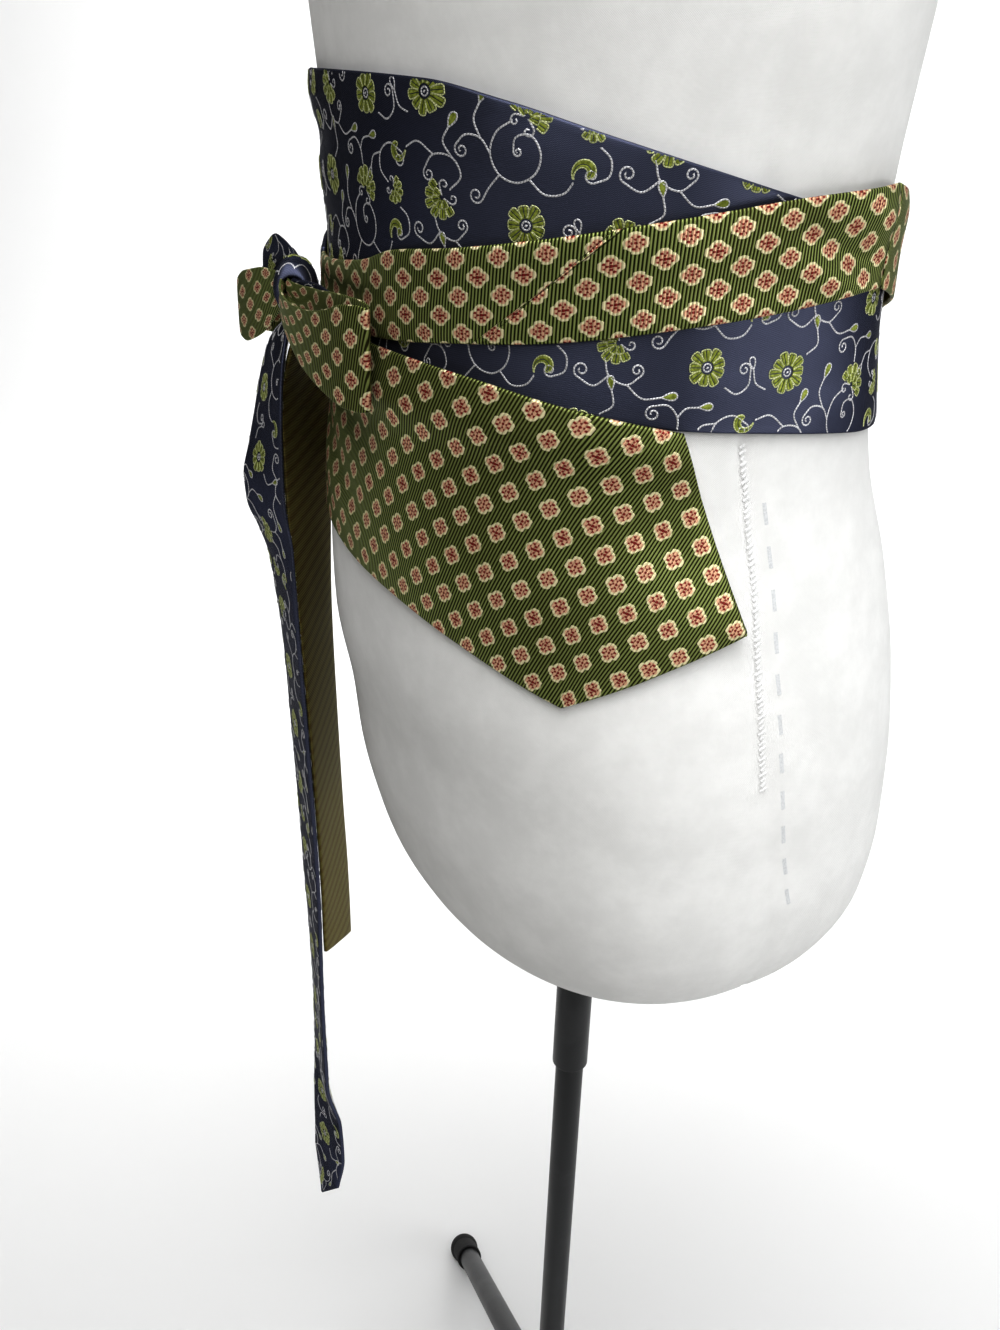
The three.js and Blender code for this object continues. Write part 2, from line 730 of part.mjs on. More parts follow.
// Which bands lie under which, and at what turn they are met.
const bladeUnder = { rows: NAVY_BLADE, under: [], turn: 0 };
const bladeTipUnder = { rows: NAVY_BLADE, under: [], turn: -360 };
const navyNeckUnder = { rows: NAVY_NECK, under: [bladeTipUnder], turn: 0 };
const navyNeckBehind = { rows: NAVY_NECK, under: [bladeTipUnder], turn: 360 };

add("navy_blade", bandSolid(NAVY_BLADE, [], {}), NAVY_CLOTH);
add("navy_neck", bandSolid(NAVY_NECK, [bladeTipUnder], {}), NAVY_CLOTH);
add(
  "olive_blade",
  bandSolid(OLIVE_BLADE, [bladeUnder, navyNeckBehind], { acrossCount: ACROSS_BLADE }),
  OLIVE_CLOTH,
);
add(
  "olive_neck",
  bandSolid(OLIVE_NECK, [bladeUnder, bladeTipUnder, navyNeckUnder], { acrossCount: ACROSS_STRAP }),
  OLIVE_CLOTH,
);
const joinHalfGap = JOIN_GAP / 2 / MM_PER_DEGREE;
add(
  "olive_strap_left",
  bandSolid(OLIVE_STRAP, [bladeUnder], { last: STRAP_JOIN - joinHalfGap, acrossCount: ACROSS_STRAP }),
  OLIVE_CLOTH,
);
add(
  "olive_strap_right",
  bandSolid(OLIVE_STRAP, [bladeUnder], { first: STRAP_JOIN + joinHalfGap, acrossCount: ACROSS_STRAP }),
  OLIVE_CLOTH,
);

add("bow_knot", knotSolid(), NAVY_CLOTH);
add("olive_loop_near", stripSolid(loopSections(OLIVE_LOOP_NEAR, 48), LOOP_THICK), OLIVE_CLOTH);
add("navy_loop_near", stripSolid(loopSections(NAVY_LOOP_NEAR, 20), FLAT_LOOP_THICK), NAVY_CLOTH);
add("olive_loop_far", stripSolid(loopSections(OLIVE_LOOP_FAR, 36), LOOP_THICK), OLIVE_CLOTH);
add("navy_loop_far", stripSolid(loopSections(NAVY_LOOP_FAR, 33), LOOP_THICK), NAVY_CLOTH);
add("navy_tail", stripSolid(tailSections(NAVY_TAIL, 20), TIE_THICK), NAVY_CLOTH);
add("olive_tail", stripSolid(tailSections(OLIVE_TAIL, 12), TIE_THICK), OLIVE_CLOTH);

add("form_body", formSolid(), FORM_COVER);
add("neck_cap", neckCapSolid(), FORM_COVER);
add("form_socket", socketSolid(), BLACK_METAL);
add("stand_pole", poleSolid(), BLACK_METAL);
add("stand_hub", hubSolid(), BLACK_METAL);
LEG_AZIMUTHS.forEach((azimuth, index) => {
  add(`stand_leg_${index + 1}`, legSolid(azimuth), BLACK_METAL);
  add(`stand_foot_${index + 1}`, footSolid(azimuth), BLACK_RUBBER);
});

// The origin is the middle of the base of the box round the whole part.
const box = new THREE.Box3().setFromObject(group, true);
const middle = box.getCenter(new THREE.Vector3());
group.position.set(-middle.x, -middle.y, -box.min.z);

export default group;
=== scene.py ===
"""Builds, lights and frames a belt wound from two neckties on a dress form.

The navy tie's wide end goes round the waist; the olive tie's wide end lies over the hip and its
narrow half comes back over the front as a strap. Their narrow ends are tied in a bow by the front.

Sizes in the tables are millimetres in the part's own frame: the stand's pole stands on the origin,
the floor is at height 0 and the form faces -Y. A direction round the form is an azimuth in degrees,
0 at the front and 90 at the form's left side (+X).
"""

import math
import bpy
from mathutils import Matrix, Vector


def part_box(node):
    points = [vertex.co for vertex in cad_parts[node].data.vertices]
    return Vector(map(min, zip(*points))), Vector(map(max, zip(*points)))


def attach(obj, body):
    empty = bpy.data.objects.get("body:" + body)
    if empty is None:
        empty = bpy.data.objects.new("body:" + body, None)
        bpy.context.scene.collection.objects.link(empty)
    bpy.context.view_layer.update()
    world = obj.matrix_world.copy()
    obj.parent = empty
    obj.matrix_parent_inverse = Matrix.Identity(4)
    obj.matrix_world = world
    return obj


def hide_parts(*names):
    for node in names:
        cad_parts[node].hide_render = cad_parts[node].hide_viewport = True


bl_info = {
    "name": "Obi Belt on a Dress Form",
    "version": (1, 0, 0),
    "blender": (4, 5, 0),
    "location": "3D View > Sidebar > Obi Belt",
    "description": "Builds a belt wound from two neckties and tied in a bow, on its dress form",
    "category": "Add Mesh",
}

from functools import partial

import bmesh
import bpy
import numpy as np
from bpy.props import FloatProperty, FloatVectorProperty, IntProperty, PointerProperty
from mathutils import Matrix, Vector

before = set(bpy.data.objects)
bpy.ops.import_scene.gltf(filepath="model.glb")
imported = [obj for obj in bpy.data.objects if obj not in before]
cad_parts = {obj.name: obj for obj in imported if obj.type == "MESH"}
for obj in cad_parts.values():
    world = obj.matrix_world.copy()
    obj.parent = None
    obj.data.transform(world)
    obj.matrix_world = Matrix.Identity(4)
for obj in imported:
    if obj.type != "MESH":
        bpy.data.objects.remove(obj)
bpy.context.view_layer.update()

MM = 0.001


def pole_axis():
    """Where the part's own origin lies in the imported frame, in metres."""
    low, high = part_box("stand_pole")
    return np.array([(low.x + high.x) / 2, (low.y + high.y) / 2, 0.0])


AXIS = pole_axis()


# ---- Tables --------------------------------------------------------------------------------------


def table(columns, rows):
    """Rows of numbers as named columns; a last value left out is 0."""
    names = columns.split()
    filled = [list(row) + [0] * (len(names) - len(row)) for row in rows]
    return {name: np.array(values, float) for name, values in zip(names, zip(*filled))}


def read(rows, column, at, key="azimuth"):
    """A column read smoothly between its rows, level past the ends, straight into a corner."""
    keys, values = rows[key], rows[column]
    width = np.diff(keys)
    slope = np.diff(values) / width
    before, after = slope[:-1], slope[1:]
    total = np.where(before + after == 0, 1, before + after)
    middle = np.where(before * after > 0, 2 * before * after / total, 0)
    leave, arrive = slope.copy(), slope.copy()
    if len(middle):
        sharp = rows["corner"][1:-1] > 0 if "corner" in rows else np.zeros(len(middle), bool)
        leave[1:] = np.where(sharp, after, middle)
        arrive[:-1] = np.where(sharp, before, middle)
    at = np.clip(np.asarray(at, float), keys[0], keys[-1])
    i = np.clip(np.searchsorted(keys, at, side="right") - 1, 0, len(width) - 1)
    t = (at - keys[i]) / width[i]
    rise = t * t * (3 - 2 * t)
    eased = t * (1 - t) * width[i]
    return (
        values[i] * (1 - rise)
        + values[i + 1] * rise
        + eased * (1 - t) * leave[i]
        - eased * t * arrive[i]
    )


FORM = table(
    "height half_width front back",
    [
        (582, 84, 58, 84), (590, 101, 71, 96), (604, 116, 81, 106), (625, 125, 88, 111),
        (650, 128, 94, 112), (680, 128, 98, 110), (720, 124, 106, 105), (760, 116, 108, 96),
        (800, 108, 106, 82), (850, 105, 104, 72), (900, 110, 107, 69), (944, 117, 111, 69),
        (1000, 124, 117, 76), (1060, 129, 126, 90), (1110, 129, 125, 98), (1150, 124, 108, 98),
        (1180, 117, 86, 92), (1202, 104, 67, 80), (1218, 80, 54, 63), (1230, 58, 46, 50),
        (1244, 47, 43, 44), (1262, 44, 41, 41), (1285, 44, 41, 41),
    ],
)
ROUNDNESS = 2.25

BAND = "azimuth low high lean lift cup corner"
NAVY_BLADE = table(BAND, [
    (-54, 874, 878), (-28, 831, 921, 0, 0, 0.5, 1), (0, 830, 920, 0, 0, 0.5),
    (26, 829, 918, 0, 0, 0.3), (40, 827, 913, 0, 0, 0.3), (56, 824.5, 904.5, 0, 0, 0.3),
    (69, 822, 897.5, 0, 0, 0.3), (84, 820, 890, 0, 0, 0.3), (98, 817.6, 884, 0, 0, 0.2),
    (110, 815, 879, 0, 0, 0.2), (118, 814, 876, 0, 0, 0.4),
])
NAVY_NECK = table(BAND, [
    (118.2, 814, 876, 0, 0, 0.4), (140, 816, 872, 0, 0, 0.8), (165, 821, 869, 0, 0, 0.6),
    (190, 826, 869, 0, 0, 0.6), (220, 830, 871, 0, 0, 0.3), (250, 833, 873, 0, 0, 0.3),
    (280, 836, 874), (306, 838, 872), (322, 841, 867), (335.6, 843, 861),
])
OLIVE_BLADE = table(BAND, [
    (-32, 767, 839), (-4, 758, 838.5), (17, 753, 837.5), (33, 745.5, 835),
    (53, 731.3, 828, 0, 0.4, 0, 1), (69, 746.5, 822.5, 0, 1.2, 0, 1), (81, 757, 759.5, 0, 2.6),
])
OLIVE_NECK = table(BAND, [
    (105.2, 862.5, 893.5, 0, 0, 1.4), (125, 853, 887, 0, 0, 1.2), (150, 838, 877, 0, 0, 0.8),
    (180, 820, 866, 0, 0, 0.6), (210, 803, 856), (240, 789, 848), (270, 778, 842),
    (300, 771, 839), (327.8, 767, 839),
])
OLIVE_STRAP = table(BAND, [
    (-23.6, 844, 860), (-12, 842, 860.5), (7, 840, 864), (17, 841, 869, 4), (31.7, 844, 872.4, 14),
    (46.6, 847, 877, 20, 0, 0.2), (66, 852.5, 884, 10, 0, 0.4), (84.5, 857.5, 890, 0, 0, 1),
    (101, 862, 893, 0, 0, 1.4), (105, 862.5, 893.5, 0, 0, 1.4),
])
STRAP_JOIN = 46.6
JOIN_HALF_GAP = 0.08
# Where the join's seam crosses the strap's lower and upper edges, by azimuth and height.
JOIN_LINE = ((35, 845), (57, 880))

NAVY_HALF_WIDTH = 47  # as far across the navy tie as its figures can reach

# Each tie's centre line, by azimuth counted on round the form from its wide end.
NAVY_LINE = table("azimuth height", [
    (-54, 876), (-28, 876), (0, 875), (26, 873.5), (40, 870), (56, 864.5), (69, 859.7), (84, 855),
    (98, 850.8), (118, 845), (140, 844), (165, 845), (190, 847.5), (220, 850.5), (250, 853),
    (280, 855), (306, 855), (335.6, 852),
])
OLIVE_LINE = table("azimuth height", [
    (-383.6, 852), (-372, 851.2), (-353, 852), (-343, 855), (-328.3, 858.2), (-313.4, 862),
    (-294, 868.2), (-275.5, 873.7), (-259, 877.5), (-255, 878), (-235, 870), (-210, 857.5),
    (-180, 843), (-150, 829.5), (-120, 818.5), (-90, 810), (-60, 805), (-32.2, 803),
    (-4, 798.3), (17, 795), (33, 790), (53, 779.8), (69, 767.6), (81, 758), (90, 750.8),
])

# The bow: places told from the form's skin under the knot, along the belt, out and up.
KNOT_AZIMUTH = -24
KNOT_HEIGHT = 847
KNOT_BACK = 7.7
KNOT_DEPTH = 16.1
KNOT_HALF_HEIGHT = 11
KNOT_LENGTH = 22
LOOP = "along out height half"
OLIVE_LOOP_NEAR = table(LOOP, [
    (3, 19.4, 847, 4.5), (11, 19.5, 846.5, 4.5), (18, 19.2, 844, 5), (27, 16.5, 840, 6.5),
    (40, 10.5, 835.8, 9.8), (52, 4, 834, 12.5), (60, -1.4, 833.6, 15), (66.5, -6.2, 834, 17),
    (71.5, -11.4, 834.2, 17.4), (73.6, -14.8, 834.4, 16.8), (71.4, -15.2, 834.6, 17.2),
    (66.4, -11.8, 835, 17.8), (60, -7.6, 835.5, 17.4), (50, -1.9, 836.5, 16), (40, 2.9, 838, 13.5),
    (30, 7, 840.5, 10.5), (20, 12.5, 844, 6.5), (11, 17.4, 846.5, 4.5), (3, 17.7, 847, 4.5),
])
NAVY_LOOP_NEAR = table(LOOP, [
    (3, 15.1, 847, 4.5), (11, 14.6, 846.8, 4.5), (18, 9.8, 845, 6.5), (24, 5.9, 843, 8.5),
    (30, 3.3, 841, 10.5), (36, 0.9, 839, 12), (42, -1.4, 837.5, 13.5), (48, -4.2, 836, 14.5),
    (54, -7.3, 835, 14.5), (58, -9.6, 834.5, 13.5), (61, -11.4, 834.5, 11.5),
])
OLIVE_LOOP_FAR = table(LOOP, [
    (-3, 19.4, 847, 4.5), (-11, 19.6, 846.5, 4.5), (-20, 25, 842, 8), (-31, 34, 836.5, 13),
    (-41, 41, 833, 14), (-49, 44.8, 831.5, 10.5), (-53, 42.5, 831, 8), (-51, 35, 831.5, 10),
    (-42, 24.5, 834.5, 12), (-30, 16.5, 839.5, 9.5), (-20, 14.2, 843.5, 6.5), (-11, 14, 846.5, 4.5),
    (-3, 14, 847, 4.5),
])
NAVY_LOOP_FAR = table(LOOP, [
    (-3, 17.8, 847, 4.5), (-11, 17.6, 847.5, 5), (-20, 19, 849.5, 8), (-29, 23.5, 850, 11),
    (-37, 28, 848.5, 13), (-45, 33, 843, 12), (-48.5, 33.5, 841, 10), (-44, 28.5, 843.5, 11.5),
    (-32, 21, 847.5, 10), (-20, 16.6, 848, 7), (-11, 15.7, 847.5, 4.8), (-3, 15.9, 847, 4.5),
])
TAIL = "along out height half turn corner tilt"
NAVY_TAIL = table(TAIL, [
    (-9, 17.8, 835.3, 6, 0), (-12, 24, 826, 11.5, -18), (-12.5, 27.8, 812, 15, -21),
    (-12, 30.2, 795, 17, -24), (-11.5, 32, 780, 17.5, -29), (-11, 33.4, 767, 17.5, -34),
    (-10.5, 32.6, 756, 17.5, -34), (-10.5, 29.8, 745, 18, -29), (-10.5, 27.6, 732, 18, -23),
    (-11, 26.2, 712, 18, -20), (-12, 25, 690, 18, -18), (-13, 24, 660, 18, -18),
    (-13, 21.5, 580, 18, -17), (-13, 20.5, 500, 18, -13), (-13, 20.2, 455, 18, -15),
    (-13, 18, 428, 18, -27), (-13, 18, 405, 18, -29), (-13, 20, 386, 18, -24, 1),
    (-13, 22.5, 366, 1, -23),
])
OLIVE_TAIL = table(TAIL, [
    (-9, 13.5, 835.3, 6, 0), (-15.5, 15.6, 822, 13, 18), (-21.5, 16.3, 800, 17.5, 27),
    (-23, 16.2, 775, 17.5, 28), (-24.5, 16.6, 740, 17.5, 23), (-25, 15.8, 700, 17.5, 17),
    (-25.5, 14.6, 660, 17.5, 15), (-26, 12.8, 600, 17.5, 14), (-26, 11.6, 560, 17.5, 15),
    (-26, 11.2, 525, 17.5, 17, 0, 0.34),
])

# Thicknesses and gaps of the cloth as it lies, shared by every layer.
TIE_THICK = 2.4
TIE_EDGE = 0.6
LOOP_THICK = 1.3
FLAT_LOOP_THICK = 1.8
STRIP_EDGE = 0.65
STRIP_WALL_EDGE = 0.02  # a strip's folded edge, as a share of its width
SKIN_GAP = 0.7
LAYER_GAP = 0.75
BRIDGE_START, BRIDGE_REACH = 5, 16
MM_PER_DEGREE = 1.87
VIEW_AZIMUTH = 58
LINE_STAND_OFF = 3  # how far off the skin the ties' lengths are told
LINE_STEP, LINE_OVERRUN = 0.5, 6
BAND_EDGE = 0.9
STATION_GAP = 1 / 3  # how near to a corner or an end a band has no other station, in degrees
EDGE_TURNS = 5  # points round a cloth's folded edge
FIGURE_MARGIN = 0.3  # how far inside a band's edge its figures end
FIGURE_REACH, FIGURE_END = 0.97, 0.5  # the same on a strip: across it, as a share, and at its ends

# Soft creases and swells of the bands: from an azimuth and height to another, how wide, and how
# high or, below 0, how deep.
NAVY_CREASES = [
    (-36, 897, -6, 902, 6, -1.5), (-34, 913, -8, 916, 6, 0.9), (-30, 868, 0, 880, 8, -0.8),
    (20, 908, 52, 897, 9, 0.5), (58, 893, 98, 879, 7, -0.5), (84, 826, 112, 829, 7, 0.5),
    (70, 836, 100, 832, 8, -0.6), (10, 845, 40, 838, 8, -0.4),
]
NAVY_BACK_CREASES = [
    (130, 862, 176, 850, 7, -0.7), (150, 830, 190, 842, 7, 0.4), (205, 858, 248, 846, 7, -0.7),
    (225, 842, 262, 852, 6, 0.4), (275, 862, 318, 850, 6, -0.6),
]
HIP_CREASES = [
    (-28, 832, 10, 800, 6, -1.2), (-30, 812, 4, 776, 6, -1.1), (-14, 836, 24, 818, 7, 0.8),
    (-26, 792, 8, 764, 6, 0.7), (28, 832, 58, 802, 12, 0.5), (34, 760, 60, 742, 8, -0.5),
    (58, 800, 74, 778, 9, -0.6),
]
OLIVE_BACK_CREASES = [
    (122, 876, 160, 858, 7, -0.8), (150, 846, 196, 832, 7, 0.7), (192, 850, 236, 832, 8, -0.9),
    (222, 818, 262, 806, 8, 0.8), (252, 832, 296, 822, 7, -0.9), (284, 796, 322, 790, 8, 0.8),
    (296, 818, 326, 828, 6, -1.0),
]
STRAP_CREASES = [
    (-22, 850, 14, 853, 3.5, -0.9), (-20, 857, 8, 861, 3.5, 0.6), (10, 848, 34, 856, 6, 0.5),
    (56, 872, 80, 878, 7, 0.5), (66, 860, 88, 866, 6, -0.4), (86, 880, 104, 868, 4, -1.7),
    (84, 872, 96, 864, 4, 0.8), (96, 888, 106, 880, 4.5, 1.1), (107, 902, 120, 904, 6, 2.0),
    (108, 870, 120, 868, 5, 1.4),
]


# ---- The form's skin and the bands on it ---------------------------------------------------------


def round_way(azimuth):
    """The outward direction at an azimuth."""
    a = np.radians(azimuth)
    return np.stack([np.sin(a), -np.cos(a), np.zeros_like(a)], -1)


def form_radius(azimuth, height):
    a = np.radians(azimuth)
    depth = np.where(
        np.cos(a) > 0, read(FORM, "front", height, "height"), read(FORM, "back", height, "height")
    )
    side = np.abs(np.sin(a)) / read(FORM, "half_width", height, "height")
    return (side**ROUNDNESS + (np.abs(np.cos(a)) / depth) ** ROUNDNESS) ** (-1 / ROUNDNESS)


def skin_point(azimuth, height, stand_off=0.0):
    azimuth, height = np.broadcast_arrays(np.asarray(azimuth, float), np.asarray(height, float))
    points = round_way(azimuth) * (form_radius(azimuth, height) + stand_off)[..., None]
    points[..., 2] = height
    return points


def smooth(value, start, end):
    t = np.clip((value - start) / (end - start), 0, 1)
    return t * t * (3 - 2 * t)


def level_steps(points):
    """How far it is, told level, from each point to the next."""
    return np.hypot(*np.diff(points[:, :2], axis=0).T)


def bumps(lines, along, height):
    """The rise of a band's soft creases at a place, told along the form's skin and by height."""
    total = np.zeros(np.broadcast(along, height).shape)
    for azimuth, low, other, high, width, rise in lines:
        start, run, lift = azimuth * MM_PER_DEGREE, (other - azimuth) * MM_PER_DEGREE, high - low
        t = np.clip(((along - start) * run + (height - low) * lift) / (run**2 + lift**2), 0, 1)
        away = (along - start - t * run) ** 2 + (height - low - t * lift) ** 2
        total += rise * (0.35 + 0.65 * np.sin(math.pi * t)) * np.exp(-away / width**2)
    return total


class Line:
    """A tie's centre line round the form, which lays the tie's own coordinates on the skin."""

    def __init__(self, rows):
        self.rows = rows
        first, last = rows["azimuth"][[0, -1]]
        self.azimuth = np.arange(first - LINE_OVERRUN, last + LINE_OVERRUN, LINE_STEP)
        self.height = self.height_at(self.azimuth)
        points = skin_point(self.azimuth, self.height, LINE_STAND_OFF)
        level = level_steps(points)
        rise = np.diff(points[:, 2])
        self.along = np.concatenate([[0], np.cumsum(np.hypot(level, rise))])
        self.slope = np.arctan2(np.gradient(self.height), np.append(level, level[-1]))
        self.per_degree = np.append(level, level[-1]) / LINE_STEP

    def height_at(self, azimuth):
        keys, heights = self.rows["azimuth"], self.rows["height"]
        inside = read(self.rows, "height", azimuth)
        first = (heights[1] - heights[0]) / (keys[1] - keys[0])
        last = (heights[-1] - heights[-2]) / (keys[-1] - keys[-2])
        return (
            inside
            + np.minimum(azimuth - keys[0], 0) * first
            + np.maximum(azimuth - keys[-1], 0) * last
        )

    def tie_place(self, azimuth, height):
        """Along and across the tie, at a place on the form."""
        rise = height - np.interp(azimuth, self.azimuth, self.height)
        slope = np.interp(azimuth, self.azimuth, self.slope)
        return np.interp(azimuth, self.azimuth, self.along) + rise * np.sin(slope), rise * np.cos(slope)

    def form_place(self, along, across):
        """Azimuth and height of a place on the tie."""
        start = np.interp(along, self.along, self.azimuth)
        slope = np.interp(start, self.azimuth, self.slope)
        per_degree = np.interp(start, self.azimuth, self.per_degree)
        centre = np.interp(start, self.azimuth, self.height)
        return start - across * np.sin(slope) / per_degree, centre + across * np.cos(slope)


def tie_thickness(across):
    return TIE_THICK * (1 - (1 - TIE_EDGE) * np.abs(2 * across - 1) ** 4)


class Band:
    """A band of tie wound on the form, over the bands it crosses."""

    def __init__(self, rows, line, turn=0, under=(), creases=()):
        self.rows, self.line, self.turn, self.under, self.creases = rows, line, turn, under, creases

    def span(self, first=None, last=None):
        """The azimuths from which and to which it runs, its own unless others are given."""
        ends = self.rows["azimuth"]
        return ends[0] if first is None else first, ends[-1] if last is None else last

    def cover(self, azimuth, height):
        """How far the band's outside stands off the skin at a place, fading out past its edges."""
        low, high = read(self.rows, "low", azimuth), read(self.rows, "high", azimuth)
        ends = self.rows["azimuth"]
        beyond = np.maximum(np.maximum(ends[0] - azimuth, azimuth - ends[-1]), 0)
        outside = np.hypot(
            np.maximum(np.maximum(low - height, height - high), 0), beyond * MM_PER_DEGREE
        )
        fade = smooth(outside, BRIDGE_START, BRIDGE_START + BRIDGE_REACH)
        within = np.clip((height - low) / (high - low), 0, 1)
        return (self.inner(azimuth, height, within) + TIE_THICK) * (1 - fade)

    def inner(self, azimuth, height, across):
        """How far the band's inside stands off the skin."""
        stand_off = np.full(np.broadcast(azimuth, height).shape, SKIN_GAP)
        for band, turn in self.under:
            stand_off = np.maximum(stand_off, band.cover(azimuth + turn, height) + LAYER_GAP)
        cup = read(self.rows, "cup", azimuth) * (2 * across - 1) ** 2
        return stand_off + read(self.rows, "lift", azimuth) + cup

    def place(self, azimuth, across, side):
        """Points of the band: side is -1 inside, 0 in the middle and 1 outside."""
        lean = read(self.rows, "lean", azimuth)
        low = read(self.rows, "low", azimuth - lean / 2)
        high = read(self.rows, "high", azimuth + lean / 2)
        height = low + (high - low) * across
        there = azimuth + lean * (across - 0.5)
        along, beside = self.line.tie_place(there + self.turn, height)
        thick = tie_thickness(np.clip(across, 0.02, 0.98))
        swell = bumps(self.creases, there * MM_PER_DEGREE, height)
        stand_off = self.inner(there, height, across) + thick * (1 + side) / 2
        stand_off = stand_off + swell * np.where(swell > 0, 0.75 + 0.25 * side, 0.5 + 0.5 * side)
        return skin_point(there, height, stand_off), along, beside

    def outside(self, along, beside):
        """Points on the band's outside by the tie's coordinates, and where those lie within it."""
        turned, height = self.line.form_place(along, beside)
        azimuth = turned - self.turn
        low, high = read(self.rows, "low", azimuth), read(self.rows, "high", azimuth)
        across = (height - low) / np.maximum(high - low, 1e-6)
        ends = self.rows["azimuth"]
        inside = (height > low + FIGURE_MARGIN) & (height < high - FIGURE_MARGIN)
        inside &= (azimuth > ends[0]) & (azimuth < ends[-1])
        across = np.clip(across, 0, 1)
        swell = bumps(self.creases, azimuth * MM_PER_DEGREE, height)
        stand_off = self.inner(azimuth, height, across) + tie_thickness(across) + swell
        return skin_point(azimuth, height, stand_off), round_way(azimuth), inside


# ---- Meshes --------------------------------------------------------------------------------------


def new_object(name, points, faces, materials, kinds=None, tie=None, smooth_faces=True):
    """A mesh object from points in millimetres, with tie coordinates and one material a face."""
    mesh = bpy.data.meshes.new(name)
    mesh.from_pydata((np.asarray(points) * MM + AXIS).tolist(), [], faces)
    for material in materials:
        mesh.materials.append(material)
    if kinds is not None:
        mesh.polygons.foreach_set("material_index", np.asarray(kinds, np.int32))
    if tie is not None:
        layer = mesh.attributes.new("tie", "FLOAT_VECTOR", "POINT")
        layer.data.foreach_set("vector", np.asarray(tie, np.float32).ravel())
    made = bpy.data.objects.new(name, mesh)
    bpy.context.scene.collection.objects.link(made)
    work = bmesh.new()
    work.from_mesh(mesh)
    bmesh.ops.remove_doubles(work, verts=work.verts, dist=1e-7)
    bmesh.ops.recalc_face_normals(work, faces=work.faces)
    work.to_mesh(mesh)
    work.free()
    mesh.polygons.foreach_set("use_smooth", [smooth_faces] * len(mesh.polygons))
    mesh.update()
    return made


def wall_profile(count, edge):
    """A flat cloth's section as (across, side) all the way round, with round folded edges."""
    across = np.linspace(edge, 1 - edge, count)
    angles = np.radians(np.linspace(90, -90, EDGE_TURNS + 2)[1:-1])
    return np.concatenate([
        np.stack([across, np.ones(count)], 1),
        np.stack([1 - edge + edge * np.cos(angles), np.sin(angles)], 1),
        np.stack([across[::-1], -np.ones(count)], 1),
        np.stack([edge - edge * np.cos(angles), -np.sin(angles)], 1),
    ])


def ring_faces(rings, count, closed=False):
    """Faces between each ring of points and the next and, if closed, the last and the first."""
    return [
        [r * count + s, r * count + (s + 1) % count, after * count + (s + 1) % count, after * count + s]
        for r in range(rings if closed else rings - 1)
        for after in [(r + 1) % rings]
        for s in range(count)
    ]


def tube_faces(sections, count):
    """Faces of a cloth's wall: round it between sections, and across both its ends."""
    ring = 2 * (count + EDGE_TURNS)
    faces = ring_faces(sections, ring)
    for start in (0, (sections - 1) * ring):
        outer = [start + i for i in range(count)]
        inner = [start + 2 * count + EDGE_TURNS - 1 - i for i in range(count)]
        faces += [[outer[i], outer[i + 1], inner[i + 1], inner[i]] for i in range(count - 1)]
        faces.append([start + count - 1 + i for i in range(EDGE_TURNS + 2)])
        low_turn = [start + 2 * count + EDGE_TURNS + i for i in range(EDGE_TURNS)]
        faces.append([inner[0], *low_turn, outer[0]])
    return faces


def ungathered(along, across):
    """The lift of a strip without gathers."""
    return 0.0 * along * across


class Strip:
    """A strip of cloth through sections given by its middle, its direction across and half width."""

    def __init__(self, middle, across, half, thick, width, gathers=ungathered):
        self.middle, self.half, self.thick, self.width = middle, half, thick, width
        self.across = across / np.linalg.norm(across, axis=1)[:, None]
        steps = np.linalg.norm(np.diff(middle, axis=0), axis=1)
        self.along = np.concatenate([[0], np.cumsum(steps)])
        run = np.gradient(middle, axis=0)
        facing = np.cross(run, self.across)
        self.facing = facing / np.linalg.norm(facing, axis=1)[:, None]
        self.gathers = gathers

    def flat_area(self):
        """Its area laid flat, in square metres."""
        steps = np.diff(self.along)
        return float(np.sum(steps * (self.half[1:] + self.half[:-1]))) * MM * MM

    def at(self, values, along):
        """One of its rows of vectors, read at places along it."""
        return np.stack([np.interp(along, self.along, column) for column in values.T], -1)

    def place(self, along, across, side):
        """Points of the strip: across runs from -1 to 1, and side is -1, 0 or 1 through it."""
        along, across, side = np.broadcast_arrays(
            np.asarray(along, float), np.asarray(across, float), np.asarray(side, float)
        )
        half = np.interp(along, self.along, self.half)
        wall = self.thick / 2 * (1 - (1 - STRIP_EDGE) * np.minimum(np.abs(across), 1) ** 4)
        lift = wall * side + self.gathers(along, across)
        return (
            self.at(self.middle, along)
            + self.at(self.across, along) * (across * half)[..., None]
            + self.at(self.facing, along) * lift[..., None]
        )

    def outside(self, along, beside, side=1):
        """Points on one face by the tie's coordinates, and which of them lie within it."""
        across = beside / (self.width / 2)
        inside = np.abs(across) < FIGURE_REACH
        inside &= (along > FIGURE_END) & (along < self.along[-1] - FIGURE_END)
        points = self.place(np.clip(along, 0, self.along[-1]), np.clip(across, -1, 1), side)
        return points, self.at(self.facing, along) * side, inside


def smooth_path(points, places):
    """A centripetal Catmull-Rom curve through points, read at places from 0 to 1."""
    points = np.asarray(points, float)
    last = len(points) - 1
    padded = np.vstack([2 * points[0] - points[1], points, 2 * points[-1] - points[-2]])
    made = []
    for place in places:
        span = min(int(place * last), last - 1)
        t = place * last - span
        p0, p1, p2, p3 = padded[span : span + 4]
        d0, d1, d2 = (np.linalg.norm(b - a) ** 0.5 for a, b in ((p0, p1), (p1, p2), (p2, p3)))
        leave = ((p1 - p0) / d0 - (p2 - p0) / (d0 + d1) + (p2 - p1) / d1) * d1
        arrive = ((p2 - p1) / d1 - (p3 - p1) / (d1 + d2) + (p3 - p2) / d2) * d1
        made.append(
            p1
            + leave * t
            + (3 * (p2 - p1) - 2 * leave - arrive) * t * t
            + (2 * (p1 - p2) + leave + arrive) * t**3
        )
    return np.array(made)


